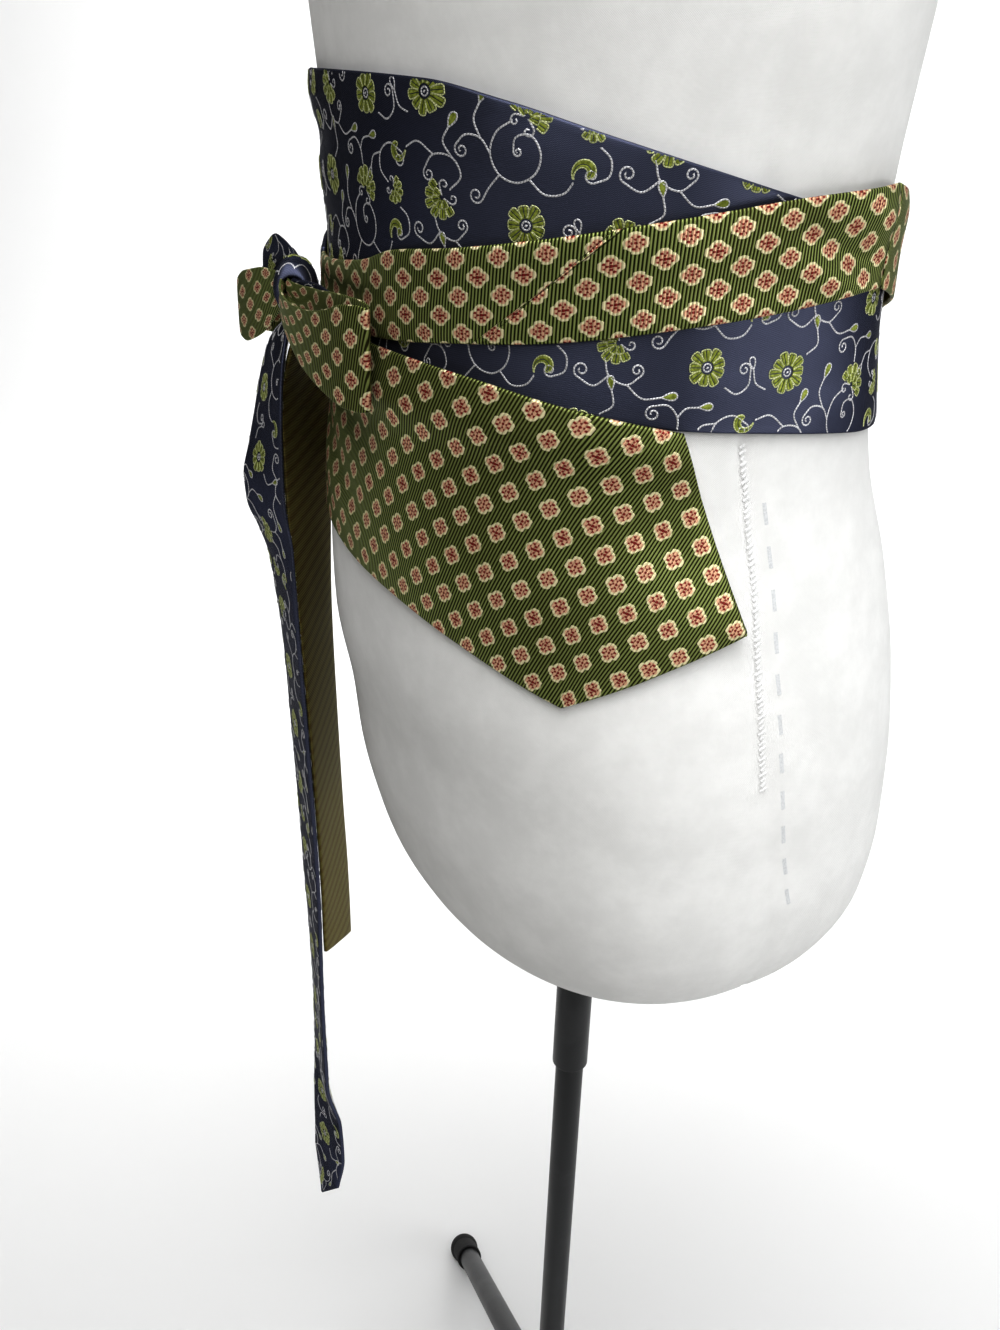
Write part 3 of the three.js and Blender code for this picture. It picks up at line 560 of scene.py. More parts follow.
KNOT_ANGLE = math.radians(KNOT_AZIMUTH)
ALONG = np.array([math.cos(KNOT_ANGLE), math.sin(KNOT_ANGLE), 0])
OUT = np.array([math.sin(KNOT_ANGLE), -math.cos(KNOT_ANGLE), 0])
UP = np.array([0, 0, 1.0])
KNOT_SKIN = skin_point(KNOT_AZIMUTH, KNOT_HEIGHT) * [1, 1, 0]


def bow_point(along, out, height):
    """Points told from the form's skin under the knot."""
    along, out, height = (np.asarray(value, float)[..., None] for value in (along, out, height))
    return KNOT_SKIN + ALONG * along + OUT * out + UP * height


def loop_strip(rows, thick, sections, width, gathers=ungathered):
    """A loop's strip, on edge, through the places of its table."""
    places = np.linspace(0, 1, sections)
    middle = smooth_path(bow_point(rows["along"], rows["out"], rows["height"]), places)
    placed = {"place": np.linspace(0, 1, len(rows["half"])), "half": rows["half"]}
    half = read(placed, "half", places, "place")
    return Strip(middle, np.tile(UP, (sections, 1)), half, thick, width, gathers)


def tail_strip(rows, thick, sections, width, gathers=ungathered):
    """A hanging end's strip, turned and tilted as its table tells."""
    hung = dict(rows, drop=rows["height"][0] - rows["height"])
    drops = np.linspace(0, hung["drop"][-1], sections)
    values = {name: read(hung, name, drops, "drop") for name in ("along", "out", "half", "turn", "tilt")}
    turn = np.radians(values["turn"])[:, None]
    across = ALONG * np.cos(turn) + OUT * np.sin(turn) + UP * values["tilt"][:, None]
    middle = bow_point(values["along"], values["out"], rows["height"][0] - drops)
    return Strip(middle, across, values["half"], thick, width, gathers)


# ---- Woven figures -------------------------------------------------------------------------------

SILVER, LEAF, RIM = 0, 1, 2
STITCH_FILL = 0.42  # half a stitch's length, as a share of the step
STITCH_SECTION = ((-0.5, 0.1), (0, 0.3), (0.5, 0.1))  # across as a share of the width, and lift
HEADING_REACH = 0.2  # how far ahead and behind a rope's direction is read


class Figures:
    """Raised woven figures drawn flat, in millimetres, as points with a lift and faces by thread."""

    def __init__(self):
        self.points, self.faces, self.kinds = [], [], []

    def add(self, points, faces, kind):
        start = len(self.points)
        self.points += [tuple(point) for point in points]
        self.faces += [[start + i for i in face] for face in faces]
        self.kinds += [kind] * len(faces)

    def rope(self, path, width=0.56, kind=SILVER, step=0.9, slant=0.35):
        """A line of short slanting stitches, each raised in its middle."""
        path = np.asarray(path, float)
        steps = np.linalg.norm(np.diff(path, axis=0), axis=1)
        along = np.concatenate([[0], np.cumsum(steps)])
        count = max(int(along[-1] / step), 1)
        for k in range(count):
            middle = (k + 0.5) * along[-1] / count
            half = along[-1] / count * STITCH_FILL
            line = []
            for place in (middle - half, middle + half):
                here = [np.interp(place, along, path[:, i]) for i in (0, 1)]
                ahead = [np.interp(place + HEADING_REACH, along, path[:, i]) for i in (0, 1)]
                behind = [np.interp(place - HEADING_REACH, along, path[:, i]) for i in (0, 1)]
                run = np.array(ahead) - behind
                run /= np.linalg.norm(run) or 1
                line.append((np.array(here), run, np.array([-run[1], run[0]])))
            points = []
            for here, run, side in line:
                for across, lift in STITCH_SECTION:
                    at = here + side * across * width + run * across * slant
                    points.append((*at, lift))
            self.add(points, [[0, 3, 4, 1], [1, 4, 5, 2]], kind)

    def patch(self, left, right, kind=LEAF, lift=0.16, crown=0.12):
        """Satin stitches laid between two lines of points."""
        points = []
        for a, b in zip(left, right):
            middle = (np.asarray(a) + b) / 2
            points += [(*a, lift), (*middle, lift + crown), (*b, lift)]
        faces = []
        for k in range(len(left) - 1):
            faces += [[3 * k, 3 * k + 3, 3 * k + 4, 3 * k + 1]]
            faces += [[3 * k + 1, 3 * k + 4, 3 * k + 5, 3 * k + 2]]
        self.add(points, faces, kind)

    def petal(self, x, y, angle, near, far, half, vein=0.13):
        """A petal that widens to a round end: a pale rim round two green halves and a dark vein."""
        t = np.linspace(0, 1, 8)
        run = near + (far - near) * np.sin(math.pi / 2 * t)
        spread = half * (0.35 + 0.65 * run / far) * np.sqrt(np.clip(1 - t**4, 0, 1))
        turn = np.array(Matrix.Rotation(angle, 2))

        def place(a, b):
            return np.array([x, y]) + turn @ np.array([a, b])

        for sign in (-1, 1):
            outer = [place(r - 0.3 * u, sign * s * 0.6) for r, s, u in zip(run, spread, t)]
            inner = [place(r - 0.3 * u, sign * min(vein, s * 0.5)) for r, s, u in zip(run, spread, t)]
            self.patch(outer, inner)
        rim = [place(r, s * 0.8) for r, s in zip(run, spread)]
        rim += [place(r, -s * 0.8) for r, s in zip(run[::-1], spread[::-1])]
        self.rope(rim, 0.42, RIM, 0.75, 0.15)

    def flower(self, x, y, radius, petals, turn):
        """Petals, every other one a little shorter, round a silver ring and eye."""
        for k in range(petals):
            angle, reach = turn + 2 * math.pi * k / petals, radius * (1 if k % 2 else 0.9)
            self.petal(x, y, angle, radius * 0.32, reach, math.pi * radius / petals)
        angles = np.linspace(0, 2 * math.pi, 15)
        ring = [(x + 1.25 * math.cos(a), y + 1.25 * math.sin(a)) for a in angles]
        self.rope(ring, 0.5, SILVER, 0.8, 0.1)
        self.rope([(x - 0.4, y), (x + 0.4, y)], 0.7, SILVER, 1)

    def bunch(self, x, y, turn, size):
        """A cloud of scale-like lobes over a mouth, with a silver curl on either side."""
        rows = (
            (0.5, 1.0, 0.27, (-1.5, -0.9, -0.3, 0.3, 0.9, 1.5)),
            (0.1, 0.56, 0.25, (-1.25, -0.42, 0.42, 1.25)),
        )
        for near, far, half, swings in rows:
            for swing in swings:
                reach = far * (1 - 0.1 * abs(swing))
                self.petal(x, y, turn + swing, size * near, size * reach, size * half)
        for hand in (-1, 1):
            start = turn + hand * 2.0
            path = [(x + 0.6 * math.cos(start), y + 0.6 * math.sin(start))]
            path += [(path[0][0] + size * 0.4 * math.cos(start), path[0][1] + size * 0.4 * math.sin(start))]
            self.rope(curled(path, size * 0.23, 1.0, hand))

    def drop(self, x, y, turn, length, filled):
        """A teardrop on the end of a stem."""
        t = np.linspace(0, 2 * math.pi, 25)
        run = length * (0.5 - 0.5 * np.cos(t))
        side = length * 0.34 * np.sin(t) * np.sin(t / 2) ** 1.2
        c, s = math.cos(turn), math.sin(turn)

        def laid(run, side):
            return [(x + a * c - b * s, y + a * s + b * c) for a, b in zip(run, side)]

        self.rope(laid(run, side), 0.52)
        if filled:
            shrunk = laid(run * 0.9 + 0.3, side * 0.78)
            self.patch(shrunk[:13], shrunk[:11:-1])

    def comma(self, x, y, turn, size, hand):
        """A leaf that curls over, thickest near its curled end."""
        t = np.linspace(0, 1, 19)
        heading = turn + hand * (0.9 - 4.6 * t**1.25)
        step = size * 0.125 * (1.15 - 0.5 * t)
        run = np.cumsum(np.stack([np.cos(heading), np.sin(heading)], 1) * step[:, None], 0)
        run += [x, y]
        thick = size * 0.2 * np.sin(math.pi * t**1.5) ** 0.75 + 0.08
        normal = np.stack([-np.sin(heading), np.cos(heading)], 1)
        left, right = run + normal * thick[:, None] * 1.15, run - normal * thick[:, None] * 0.85
        self.patch(left[1:-1], run[1:-1] + normal[1:-1] * 0.12)
        self.patch(run[1:-1] - normal[1:-1] * 0.12, right[1:-1])
        self.rope(np.vstack([left, right[::-1]]), 0.46, RIM, 0.85, 0.25)

    def vine(self, points, end="", size=3.2):
        """A stem through points that ends in a curl, a drop or a leaf."""
        path = smooth_path(points, np.linspace(0, 1, 8 * len(points)))
        heading = math.atan2(*(path[-1] - path[-2])[::-1])
        kind, _, hand = end.partition(" ")
        hand = -1 if hand == "right" else 1
        if kind == "curl":
            path = np.array(curled(path, size, 1.35, hand))
        self.rope(path)
        x, y = path[-1]
        if kind in ("drop", "berry"):
            self.drop(x, y, heading, size * 1.8, kind == "berry")
        if kind == "leaf":
            self.comma(x, y, heading, size * 2.2, hand)


def curled(path, radius, turns, hand):
    """A path carried on into a spiral that closes in."""
    path = [tuple(point) for point in path]
    (x0, y0), (x, y) = path[-2:]
    heading = math.atan2(y - y0, x - x0)
    for k in range(int(26 * turns)):
        reach = radius * (1 - 0.78 * k / (26 * turns))
        heading += hand * 2 * math.pi / 26
        x += reach * math.cos(heading) * 2 * math.pi / 26
        y += reach * math.sin(heading) * 2 * math.pi / 26
        path.append((x, y))
    return path


REPEAT_LONG, REPEAT_WIDE = 62.0, 56.0
FLOWERS = ((-21, 13, 6.5, 10, 0.2), (13, -17, 6.1, 9, 0.5))  # place, radius, petals, turn
BUNCHES = ((9, 11.5, 1.1, 7.0), (-15, -15, -2.4, 6.8), (26, 13, -0.5, 4.8))  # place, turn, size
# Each stem's points, how it ends and how large that is.
STEMS = (
    # The round stem below the first bunch, and what leaves it
    (
        [(5, 10), (0.5, 6), (-0.5, 0), (3, -5), (9, -6), (13.5, -2.5), (14, 3), (10.5, 7),
         (6.5, 5.5), (6.5, 2)],
        "curl left", 1.3,
    ),
    ([(-0.5, 0), (-4, 3.5), (-8.5, 3.5), (-11, 0.5)], "curl left", 2.1),
    ([(-4, 3.5), (-6.5, 8), (-5.5, 12.5)], "berry", 2.7),
    ([(3, -5), (0, -9.5), (-1.5, -13)], "curl right", 2.3),
    ([(12, -4.5), (17, -7.5), (22, -6), (24, -2.5)], "leaf left", 2.5),
    # Stems over the first bunch
    ([(8.5, 18.5), (7.5, 23), (4, 26), (-0.5, 25)], "curl left", 2.3),
    ([(7.5, 23), (9.5, 26), (13.5, 27)], "berry", 2.4),
    # The wave between the small bunch and the next row
    ([(23.5, 14.5), (19.5, 18), (20, 23), (25, 26), (30.5, 24)], "curl right", 2.4),
    ([(20, 23), (15.5, 21.5), (14, 18.5)], "drop", 2.1),
    ([(29, 8), (32.5, 5.5), (33, 1), (29.5, -1.5)], "curl right", 2.0),
    # Stems round the second bunch
    ([(-12.5, -12.5), (-9, -8), (-12, -3.5), (-18, -3.5), (-21.5, -8)], "curl left", 2.0),
    ([(-12, -3.5), (-15, 0.5), (-13.5, 4.5)], "berry", 2.5),
    ([(-18, -3.5), (-24, -0.5), (-29, -2.5)], "leaf left", 2.5),
    ([(-18, -20), (-15.5, -25), (-9.5, -26.5), (-6, -23)], "curl left", 2.0),
    ([(-15.5, -25), (-19.5, -29), (-25, -27.5)], "curl right", 2.4),
    ([(-9.5, -26.5), (-4, -29.5), (1.5, -28)], "berry", 2.6),
    # Stems beside the flowers
    ([(-27.5, 7), (-31.5, 8.5), (-33.5, 12.5)], "drop", 2.2),
    ([(-15.5, 19), (-12, 22.5), (-13.5, 27)], "berry", 2.4),
    ([(20, -22), (24.5, -23.5), (28, -20.5), (27.5, -15.5)], "curl left", 2.1),
)


def brocade_repeat():
    """One repeat of the navy tie's figures, flat, about its own middle."""
    drawn = Figures()
    for draw, plans in ((drawn.flower, FLOWERS), (drawn.bunch, BUNCHES), (drawn.vine, STEMS)):
        for plan in plans:
            draw(*plan)
    return drawn


def brocade_on(name, place, first, last, half, shift):
    """The navy tie's figures laid all over one of its cloths and cut at the cloth's edges."""
    repeat = brocade_repeat()
    flat = np.array(repeat.points)
    faces, kinds = repeat.faces, np.array(repeat.kinds)
    all_points, all_faces, all_kinds = [], [], []
    start = 0
    for column in range(math.floor(first / REPEAT_LONG) - 1, math.ceil(last / REPEAT_LONG) + 2):
        for row in range(-3, 4):
            along = flat[:, 0] + column * REPEAT_LONG + shift[0]
            beside = flat[:, 1] + (row + 0.5 * (column % 2)) * REPEAT_WIDE + shift[1]
            if along.min() > last or along.max() < first or beside.min() > half or beside.max() < -half:
                continue
            points, out, inside = place(along, beside)
            inside = inside & (along > first) & (along < last)
            kept = [i for i, face in enumerate(faces) if inside[face].all()]
            if not kept:
                continue
            used = np.unique(np.concatenate([faces[i] for i in kept]))
            place_of = np.full(len(flat), -1)
            place_of[used] = np.arange(len(used))
            all_points.append(points[used] + out[used] * flat[used, 2:3])
            all_faces += [[start + int(place_of[v]) for v in faces[i]] for i in kept]
            all_kinds += [int(kinds[i]) for i in kept]
            start += len(used)
    threads = [material(maker) for maker in (silver_thread, leaf_thread, rim_thread)]
    made = new_object(name, np.vstack(all_points), all_faces, threads, all_kinds)
    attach(made, "root")
    return made


def brocade_on_both(name, strip, words, last, half, shift):
    """The figures on a strip's two faces, each named by its own word."""
    along, beside = shift
    return [
        brocade_on(
            f"{name}_{word}_figures", partial(strip.outside, side=side), 0, last, half, (along, beside * side)
        )
        for side, word in zip((1, -1), words)
    ]


# ---- Shaders -------------------------------------------------------------------------------------


class Wire:
    """A socket of a shader's node that sums can be written with."""

    def __init__(self, shader, node, socket):
        self.shader, self.node, self.socket = shader, node, socket

    def __getitem__(self, name):
        return Wire(self.shader, self.node, self.node.outputs[name])

    def many(self):
        """Whether it holds a vector or a colour."""
        return self.socket.type in ("VECTOR", "RGBA")

    def sum(self, operation, *values):
        """A maths node over values and wires, a vector one if any of them is a vector."""
        vector = any(isinstance(v, tuple) or (isinstance(v, Wire) and v.many()) for v in values)
        kind = "ShaderNodeVectorMath" if vector else "ShaderNodeMath"
        made = self.shader.node(kind, {"operation": operation})
        for index, value in enumerate(values):
            if vector and isinstance(value, (int, float)):
                value = (value,) * 3
            self.shader.give(made.node.inputs[index], value)
        return made

    def __neg__(self):
        return self.sum("MULTIPLY", self, -1)

    def __abs__(self):
        return self.sum("ABSOLUTE", self)

    def floor(self):
        return self.sum("FLOOR", self)

    def cosine(self):
        return self.sum("COSINE", self)

    def most(self, other):
        return self.sum("MAXIMUM", self, other)

    def angle(self, run):
        """The angle, in radians, of this rise over a run."""
        return self.sum("ARCTAN2", self, run)

    def dot(self, other):
        return self.sum("DOT_PRODUCT", self, other)["Value"]

    def wrap(self, high, low):
        return self.sum("WRAP", self, high, low)

    def ramp(self, low, high):
        """0 below low and 1 above high, smooth between; low may be the larger."""
        made = self.shader.node("ShaderNodeMapRange", {"interpolation_type": "SMOOTHSTEP"})
        for name, value in (("Value", self), ("From Min", low), ("From Max", high)):
            self.shader.give(made.node.inputs[name], value)
        return made


def add_operator(word, operation):
    """Gives wires a Python operator, and its reflected form for when a number comes first."""

    def forward(self, other):
        return self.sum(operation, self, other)

    def reflected(self, other):
        return self.sum(operation, other, self)

    setattr(Wire, f"__{word}__", forward)
    setattr(Wire, f"__r{word}__", reflected)


for operator_word, node_operation in (
    ("add", "ADD"), ("sub", "SUBTRACT"), ("mul", "MULTIPLY"), ("truediv", "DIVIDE"), ("pow", "POWER"),
):
    add_operator(operator_word, node_operation)


class Tree:
    """A node tree, written as sums of wires."""

    def __init__(self, tree):
        self.tree = tree

    def give(self, socket, value):
        """Sets a socket's value, or links a wire to it."""
        if isinstance(value, Wire):
            self.tree.links.new(value.socket, socket)
        elif socket.type == "RGBA" and len(value) == 3:
            socket.default_value = (*value, 1)
        else:
            socket.default_value = value

    def node(self, kind, settings=None, **values):
        """A node of a kind, with its settings and its sockets' values or wires by name."""
        made = self.tree.nodes.new(kind)
        for name, value in (settings or {}).items():
            setattr(made, name, value)
        for name, value in values.items():
            self.give(made.inputs[name.replace("_", " ")], value)
        return Wire(self, made, made.outputs[0] if made.outputs else None)

    def mix(self, share, first, second):
        """A colour from the first at share 0 to the second at 1."""
        made = self.node("ShaderNodeMix", {"data_type": "RGBA"})
        for index, value in ((0, share), (6, first), (7, second)):
            self.give(made.node.inputs[index], value)
        return Wire(self, made.node, made.node.outputs[2])


class Shader(Tree):
    """A material's node tree."""

    def __init__(self, name):
        self.material = bpy.data.materials.new(name)
        self.material.use_nodes = True
        super().__init__(self.material.node_tree)
        self.tree.nodes.clear()
        self.output = self.tree.nodes.new("ShaderNodeOutputMaterial")

    def tie_place(self):
        """The tie's coordinates of the surface: along, across and which face."""
        made = self.node("ShaderNodeAttribute", {"attribute_name": "tie"})
        parts = self.node("ShaderNodeSeparateXYZ", Vector=made["Vector"])
        return parts["X"], parts["Y"], parts["Z"]

    def noise(self, scale, detail=2.0, roughness=0.5):
        made = self.node("ShaderNodeTexNoise", Scale=scale, Detail=detail, Roughness=roughness)
        self.give(made.node.inputs["Vector"], self.node("ShaderNodeTexCoord")["Object"])
        return made

    def finish(self, colour, roughness, height=None, distance=0.0002, **settings):
        surface = self.node("ShaderNodeBsdfPrincipled")
        inputs = surface.node.inputs
        self.give(inputs["Base Color"], colour)
        self.give(inputs["Roughness"], roughness)
        for name, value in settings.items():
            self.give(inputs[name.replace("_", " ")], value)
        if height is not None:
            bump = self.node("ShaderNodeBump", Strength=1.0, Distance=distance, Height=height)
            self.give(inputs["Normal"], bump)
        self.tree.links.new(surface.socket, self.output.inputs["Surface"])
        return self.material


TURN = 2 * math.pi
DIAGONAL = 0.70711  # a lattice's side along the tie, as a share of its length


def olive_twill(colours, name="olive twill", lengthwise=1.0, crosswise=1.0, join=None):
    """Ribbed twill with small four-lobed medallions in a diagonal lattice."""
    sizes = bpy.context.scene.obi_sizes
    made = Shader(name)
    along, across, face = made.tie_place()
    if join:
        (low_along, low), (high_along, high) = join
        lean = (high_along - low_along) / (high - low)
        beyond = along - across * lean - (low_along - low * lean)
        along = along + beyond.ramp(-0.05, 0.05) * 4.3
        rising = across.ramp(low, high)
        # Painted shade along the strap's join: a dark line beside the place where the two halves meet,
        # stronger towards the upper edge.
        seam = abs(beyond - rising * 0.5).ramp(0.75, 0.5) * abs(beyond).ramp(0.15, 0.4)
        seam = seam * (rising * 0.6 + 0.4)
    drift = made.noise(90.0, 1.0) * 0.2
    rib = (along * 0.98 - across * 0.2 + drift) / sizes.rib_pitch
    ridge = (rib * TURN).cosine() * -0.5 + 0.5
    jag = ((rib.floor() + 0.5) * sizes.rib_pitch + across * 0.2) / 0.98 * 0.4 + along * 0.6
    lattice = sizes.medallion_spacing
    x, y = jag / lengthwise, across / crosswise
    p = ((x + y) * DIAGONAL).wrap(lattice / 2, -lattice / 2)
    q = ((x - y) * DIAGONAL).wrap(lattice / 2, -lattice / 2)
    run = (p + q) * (DIAGONAL / lengthwise)
    rise = (p - q) * (DIAGONAL * crosswise**0.7)
    reach = (run * run + rise * rise) ** 0.5
    angle = rise.angle(run)
    four = (angle * 4).cosine()
    eight = (angle * 8).cosine()
    rim = sizes.medallion_width * 0.5 * (1 + four * 0.1) - eight * 0.1
    inside = (reach - rim).ramp(0.12, -0.12) * face.ramp(-0.2, 0.2)
    outline = (reach - rim).ramp(-0.88, -0.68)
    core = reach.ramp(0.6, 0.4)
    ring = reach.ramp(0.6, 0.75) * reach.ramp(1.5, 1.3) * four.ramp(0.0, 0.4)
    lobes = reach.ramp(1.45, 1.6) * reach.ramp(2.3, 2.1) * (-eight).ramp(0.0, 0.4)
    dark = core.most(ring).most(lobes)
    # Painted shade: the gaps between the twill's ribs get a near-black colour, where the ribs' shade falls.
    ground = made.mix(ridge.ramp(0.2, 0.9), colours.painted_gap_shade, colours.olive_rib)
    patches = made.noise(14.0, 3.0)
    ground = made.mix(patches.ramp(0.35, 0.7) * 0.35, ground, colours.olive_shade)
    stripe = ((along * 0.9 - across * 0.44 + drift * 3) * (TURN / sizes.back_stripe)).cosine()
    stripe = stripe.ramp(-0.2, 0.75)
    back = made.mix(stripe * 0.75, colours.olive_back, colours.back_stripe)
    ground = made.mix(face.ramp(0.2, -0.2) * (ridge * 0.3 + 0.7), ground, back)
    figure = made.mix(dark, colours.medallion_field, colours.medallion_mark)
    figure = made.mix(outline, figure, colours.medallion_rim)
    # Painted shade: the medallions are darkened in the gaps between the ribs as well.
    thread = ridge.ramp(0, 0.6) * 0.4 + 0.6
    figure = figure * thread
    colour = made.mix(inside, ground, figure)
    if join:
        # Painted shade: the dark line beside the strap's join.
        colour = made.mix(seam * 0.85, colour, colours.painted_gap_shade)
    fine = made.noise(2500.0, 1.0)
    height = ridge * 0.75 + inside * 0.25 + fine * 0.15
    return made.finish(
        colour, ridge * -0.1 + 0.46, height, 0.00022, Metallic=0.45, Specular_IOR_Level=0.2,
        Specular_Tint=(0.3, 0.32, 0.2, 1),
    )


def pulled_twill(colours):
    """The same twill on the strap, where the pull of the knot draws the cloth long and narrow."""
    strap = build_bands()["strap"]
    join = [strap.line.tie_place(azimuth + strap.turn, height) for azimuth, height in JOIN_LINE]
    join = [(float(along), float(across)) for along, across in join]
    return olive_twill(colours, "pulled olive twill", 1.06, 0.78, join)


def navy_satin(colours):
    """The navy tie's plain satin ground."""
    made = Shader("navy satin")
    along, across, _ = made.tie_place()
    float_line = ((along * 0.8 + across) * (TURN / 0.42)).cosine() * 0.5 + 0.5
    cross_line = ((across * 0.9 - along * 0.35) * (TURN / 0.55)).cosine() * 0.5 + 0.5
    weave = float_line * 0.7 + cross_line * 0.3
    patches = made.noise(25.0, 2.0)
    colour = made.mix(weave * 0.7 + patches * 0.3, colours.navy_shade, colours.navy)
    return made.finish(
        colour, weave * -0.06 + 0.41, weave, 0.00005, Metallic=0.85, Specular_Tint=(0.06, 0.06, 0.08, 1),
    )


def thread(name, colour, other, roughness):
    """Shiny floats of embroidery-like thread."""
    made = Shader(name)
    tone = made.noise(900.0, 2.0)
    shade = made.mix(tone.ramp(0.3, 0.7), other, colour)
    return made.finish(
        shade, roughness, made.noise(3500.0, 1.0), 0.00006, Metallic=0.35, Specular_IOR_Level=0.3,
        Specular_Tint=(0.4, 0.4, 0.4, 1),
    )


def form_cover(colours):
    """The form's fine white cloth cover."""
    made = Shader("form cover")
    along, across, _ = made.tie_place()
    warp = (along * (TURN / 0.55)).cosine()
    weft = (across * (TURN / 0.6)).cosine()
    cloth = warp * weft * 0.5 + 0.5
    slub = made.noise(55.0, 4.0, 0.65)
    shade = slub.ramp(0.3, 0.75) * 0.5 + cloth * 0.3
    colour = made.mix(shade, colours.cover_shade, colours.cover)
    return made.finish(
        colour, slub * 0.1 + 0.8, cloth + slub * 0.4, 0.00008, Sheen_Weight=0.15, Sheen_Roughness=0.6,
    )


def sewing_thread(name, shade, colour, roughness, distance):
    """Twisted thread of the form's stitches."""
    made = Shader(name)
    twist = made.noise(1500.0, 2.0)
    return made.finish(made.mix(twist.ramp(0.3, 0.7), shade, colour), roughness, twist, distance)


def cover_thread(colours):
    return sewing_thread("cover thread", colours.stitch_shade, colours.stitch, 0.6, 0.00008)


def mark_thread(colours):
    return sewing_thread("mark thread", colours.mark_shade, colours.mark, 0.65, 0.00006)


def stand_paint(colours):
    """Black powder-coated metal, a little worn."""
    made = Shader("stand paint")
    speckle = made.noise(900.0, 3.0, 0.6)
    wear = made.noise(22.0, 4.0, 0.7)
    colour = made.mix(wear.ramp(0.5, 0.75) * 0.5, colours.paint, colours.paint_worn)
    return made.finish(colour, wear * 0.25 + 0.3, speckle, 0.00006, Metallic=0.3, Coat_Weight=0.1)


def foot_rubber(colours):
    """Dull black rubber."""
    made = Shader("foot rubber")
    grain = made.noise(600.0, 4.0, 0.7)
    dust = made.noise(60.0, 3.0, 0.6)
    colour = made.mix(dust.ramp(0.5, 0.8) * 0.4, colours.rubber, colours.rubber_dusty)
    return made.finish(colour, grain * 0.15 + 0.75, grain, 0.0001)


def studio_floor(colours):
    """Pale matt floor, graded to a dark brown well in front of the part."""
    made = Shader("studio floor")
    place = made.node("ShaderNodeTexCoord")["Object"]
    parts = made.node("ShaderNodeSeparateXYZ", Vector=place)
    front = round_way(VIEW_AZIMUTH)
    ahead = parts["X"] * float(front[0]) + parts["Y"] * float(front[1])
    tone = made.noise(3.0, 3.0)
    pale = made.mix(tone * 0.3, colours.floor, colours.floor_shade)
    colour = made.mix(ahead.ramp(0.35, 1.3), pale, colours.floor_front)
    return made.finish(colour, 0.85)


def silver_thread(colours):
    return thread("silver thread", colours.silver, colours.silver_shade, 0.38)


def leaf_thread(colours):
    return thread("leaf thread", colours.leaf, colours.leaf_shade, 0.42)


def rim_thread(colours):
    return thread("rim thread", colours.rim, colours.rim_shade, 0.42)


MADE = {}


def material(maker):
    """A material, made once with the colours and sizes as they are."""
    if maker.__name__ not in MADE:
        MADE[maker.__name__] = maker(bpy.context.scene.obi_colours)
    return MADE[maker.__name__]


# ---- Adjustable colours and sizes ----------------------------------------------------------------


def colour(name, description, *value):
    return FloatVectorProperty(
        name=name, description=description, subtype="COLOR", size=3, min=0, max=1, default=value
    )


class OBI_PG_colours(bpy.types.PropertyGroup):
    """The part's colours."""

    navy: colour("Navy ground", "Lit threads of the navy satin", 0.135, 0.148, 0.225)
    navy_shade: colour("Navy shade", "Sunk threads of the navy satin", 0.024, 0.026, 0.04)
    silver: colour("Silver thread", "Vines, stems and rings", 0.8, 0.8, 0.82)
    silver_shade: colour("Silver shade", "The vines' darker threads", 0.52, 0.52, 0.54)
    leaf: colour("Leaf thread", "Flowers and leaves", 0.34, 0.39, 0.08)
    leaf_shade: colour("Leaf shade", "The flowers' darker threads", 0.15, 0.18, 0.03)
    rim: colour("Rim thread", "Rims of the petals", 0.75, 0.78, 0.45)
    rim_shade: colour("Rim shade", "The rims' darker threads", 0.5, 0.54, 0.25)
    olive_rib: colour("Olive rib", "Tops of the olive twill's ribs", 0.31, 0.365, 0.125)
    # Near-black painted shade, between the twill's ribs and along the strap's join.
    painted_gap_shade: colour("Olive gap", "Between the ribs", 0.011, 0.013, 0.003)
    olive_shade: colour("Olive shade", "Browner patches of the twill", 0.045, 0.038, 0.009)
    olive_back: colour("Olive back", "The twill's inner side", 0.2, 0.165, 0.055)
    back_stripe: colour("Back stripe", "Browner stripes of the inner side", 0.12, 0.075, 0.022)
    medallion_rim: colour("Medallion rim", "Jagged cream rims", 0.86, 0.79, 0.5)
    medallion_field: colour("Medallion field", "Inside of the medallions", 0.76, 0.46, 0.3)
    medallion_mark: colour("Medallion mark", "Dots and lobes of the medallions", 0.24, 0.03, 0.026)
    cover: colour("Form cover", "The form's white cloth", 0.86, 0.86, 0.85)
    cover_shade: colour("Form cover shade", "Its slubs and gaps", 0.72, 0.72, 0.71)
    stitch: colour("Stitch", "Sewing thread on the form", 0.9, 0.9, 0.9)
    stitch_shade: colour("Stitch shade", "Its twist", 0.7, 0.7, 0.7)
    mark: colour("Mark thread", "Running stitches on the form", 0.68, 0.69, 0.7)
    mark_shade: colour("Mark shade", "Its twist", 0.56, 0.57, 0.58)
    paint: colour("Stand paint", "Black powder coat", 0.012, 0.013, 0.014)
    paint_worn: colour("Worn paint", "Rubbed places of the coat", 0.04, 0.04, 0.042)
    rubber: colour("Rubber", "The stand's feet", 0.015, 0.015, 0.015)
    rubber_dusty: colour("Dusty rubber", "Dust on the feet", 0.06, 0.058, 0.055)
    floor: colour("Floor", "Pale studio floor", 0.84, 0.84, 0.84)
    floor_shade: colour("Floor shade", "Its faint clouding", 0.79, 0.79, 0.79)
    floor_front: colour("Floor in front", "Where the floor is graded darker", 0.13, 0.115, 0.09)


def millimetres(name, description, default, least):
    return FloatProperty(name=name, description=f"{description}, mm", default=default, min=least)


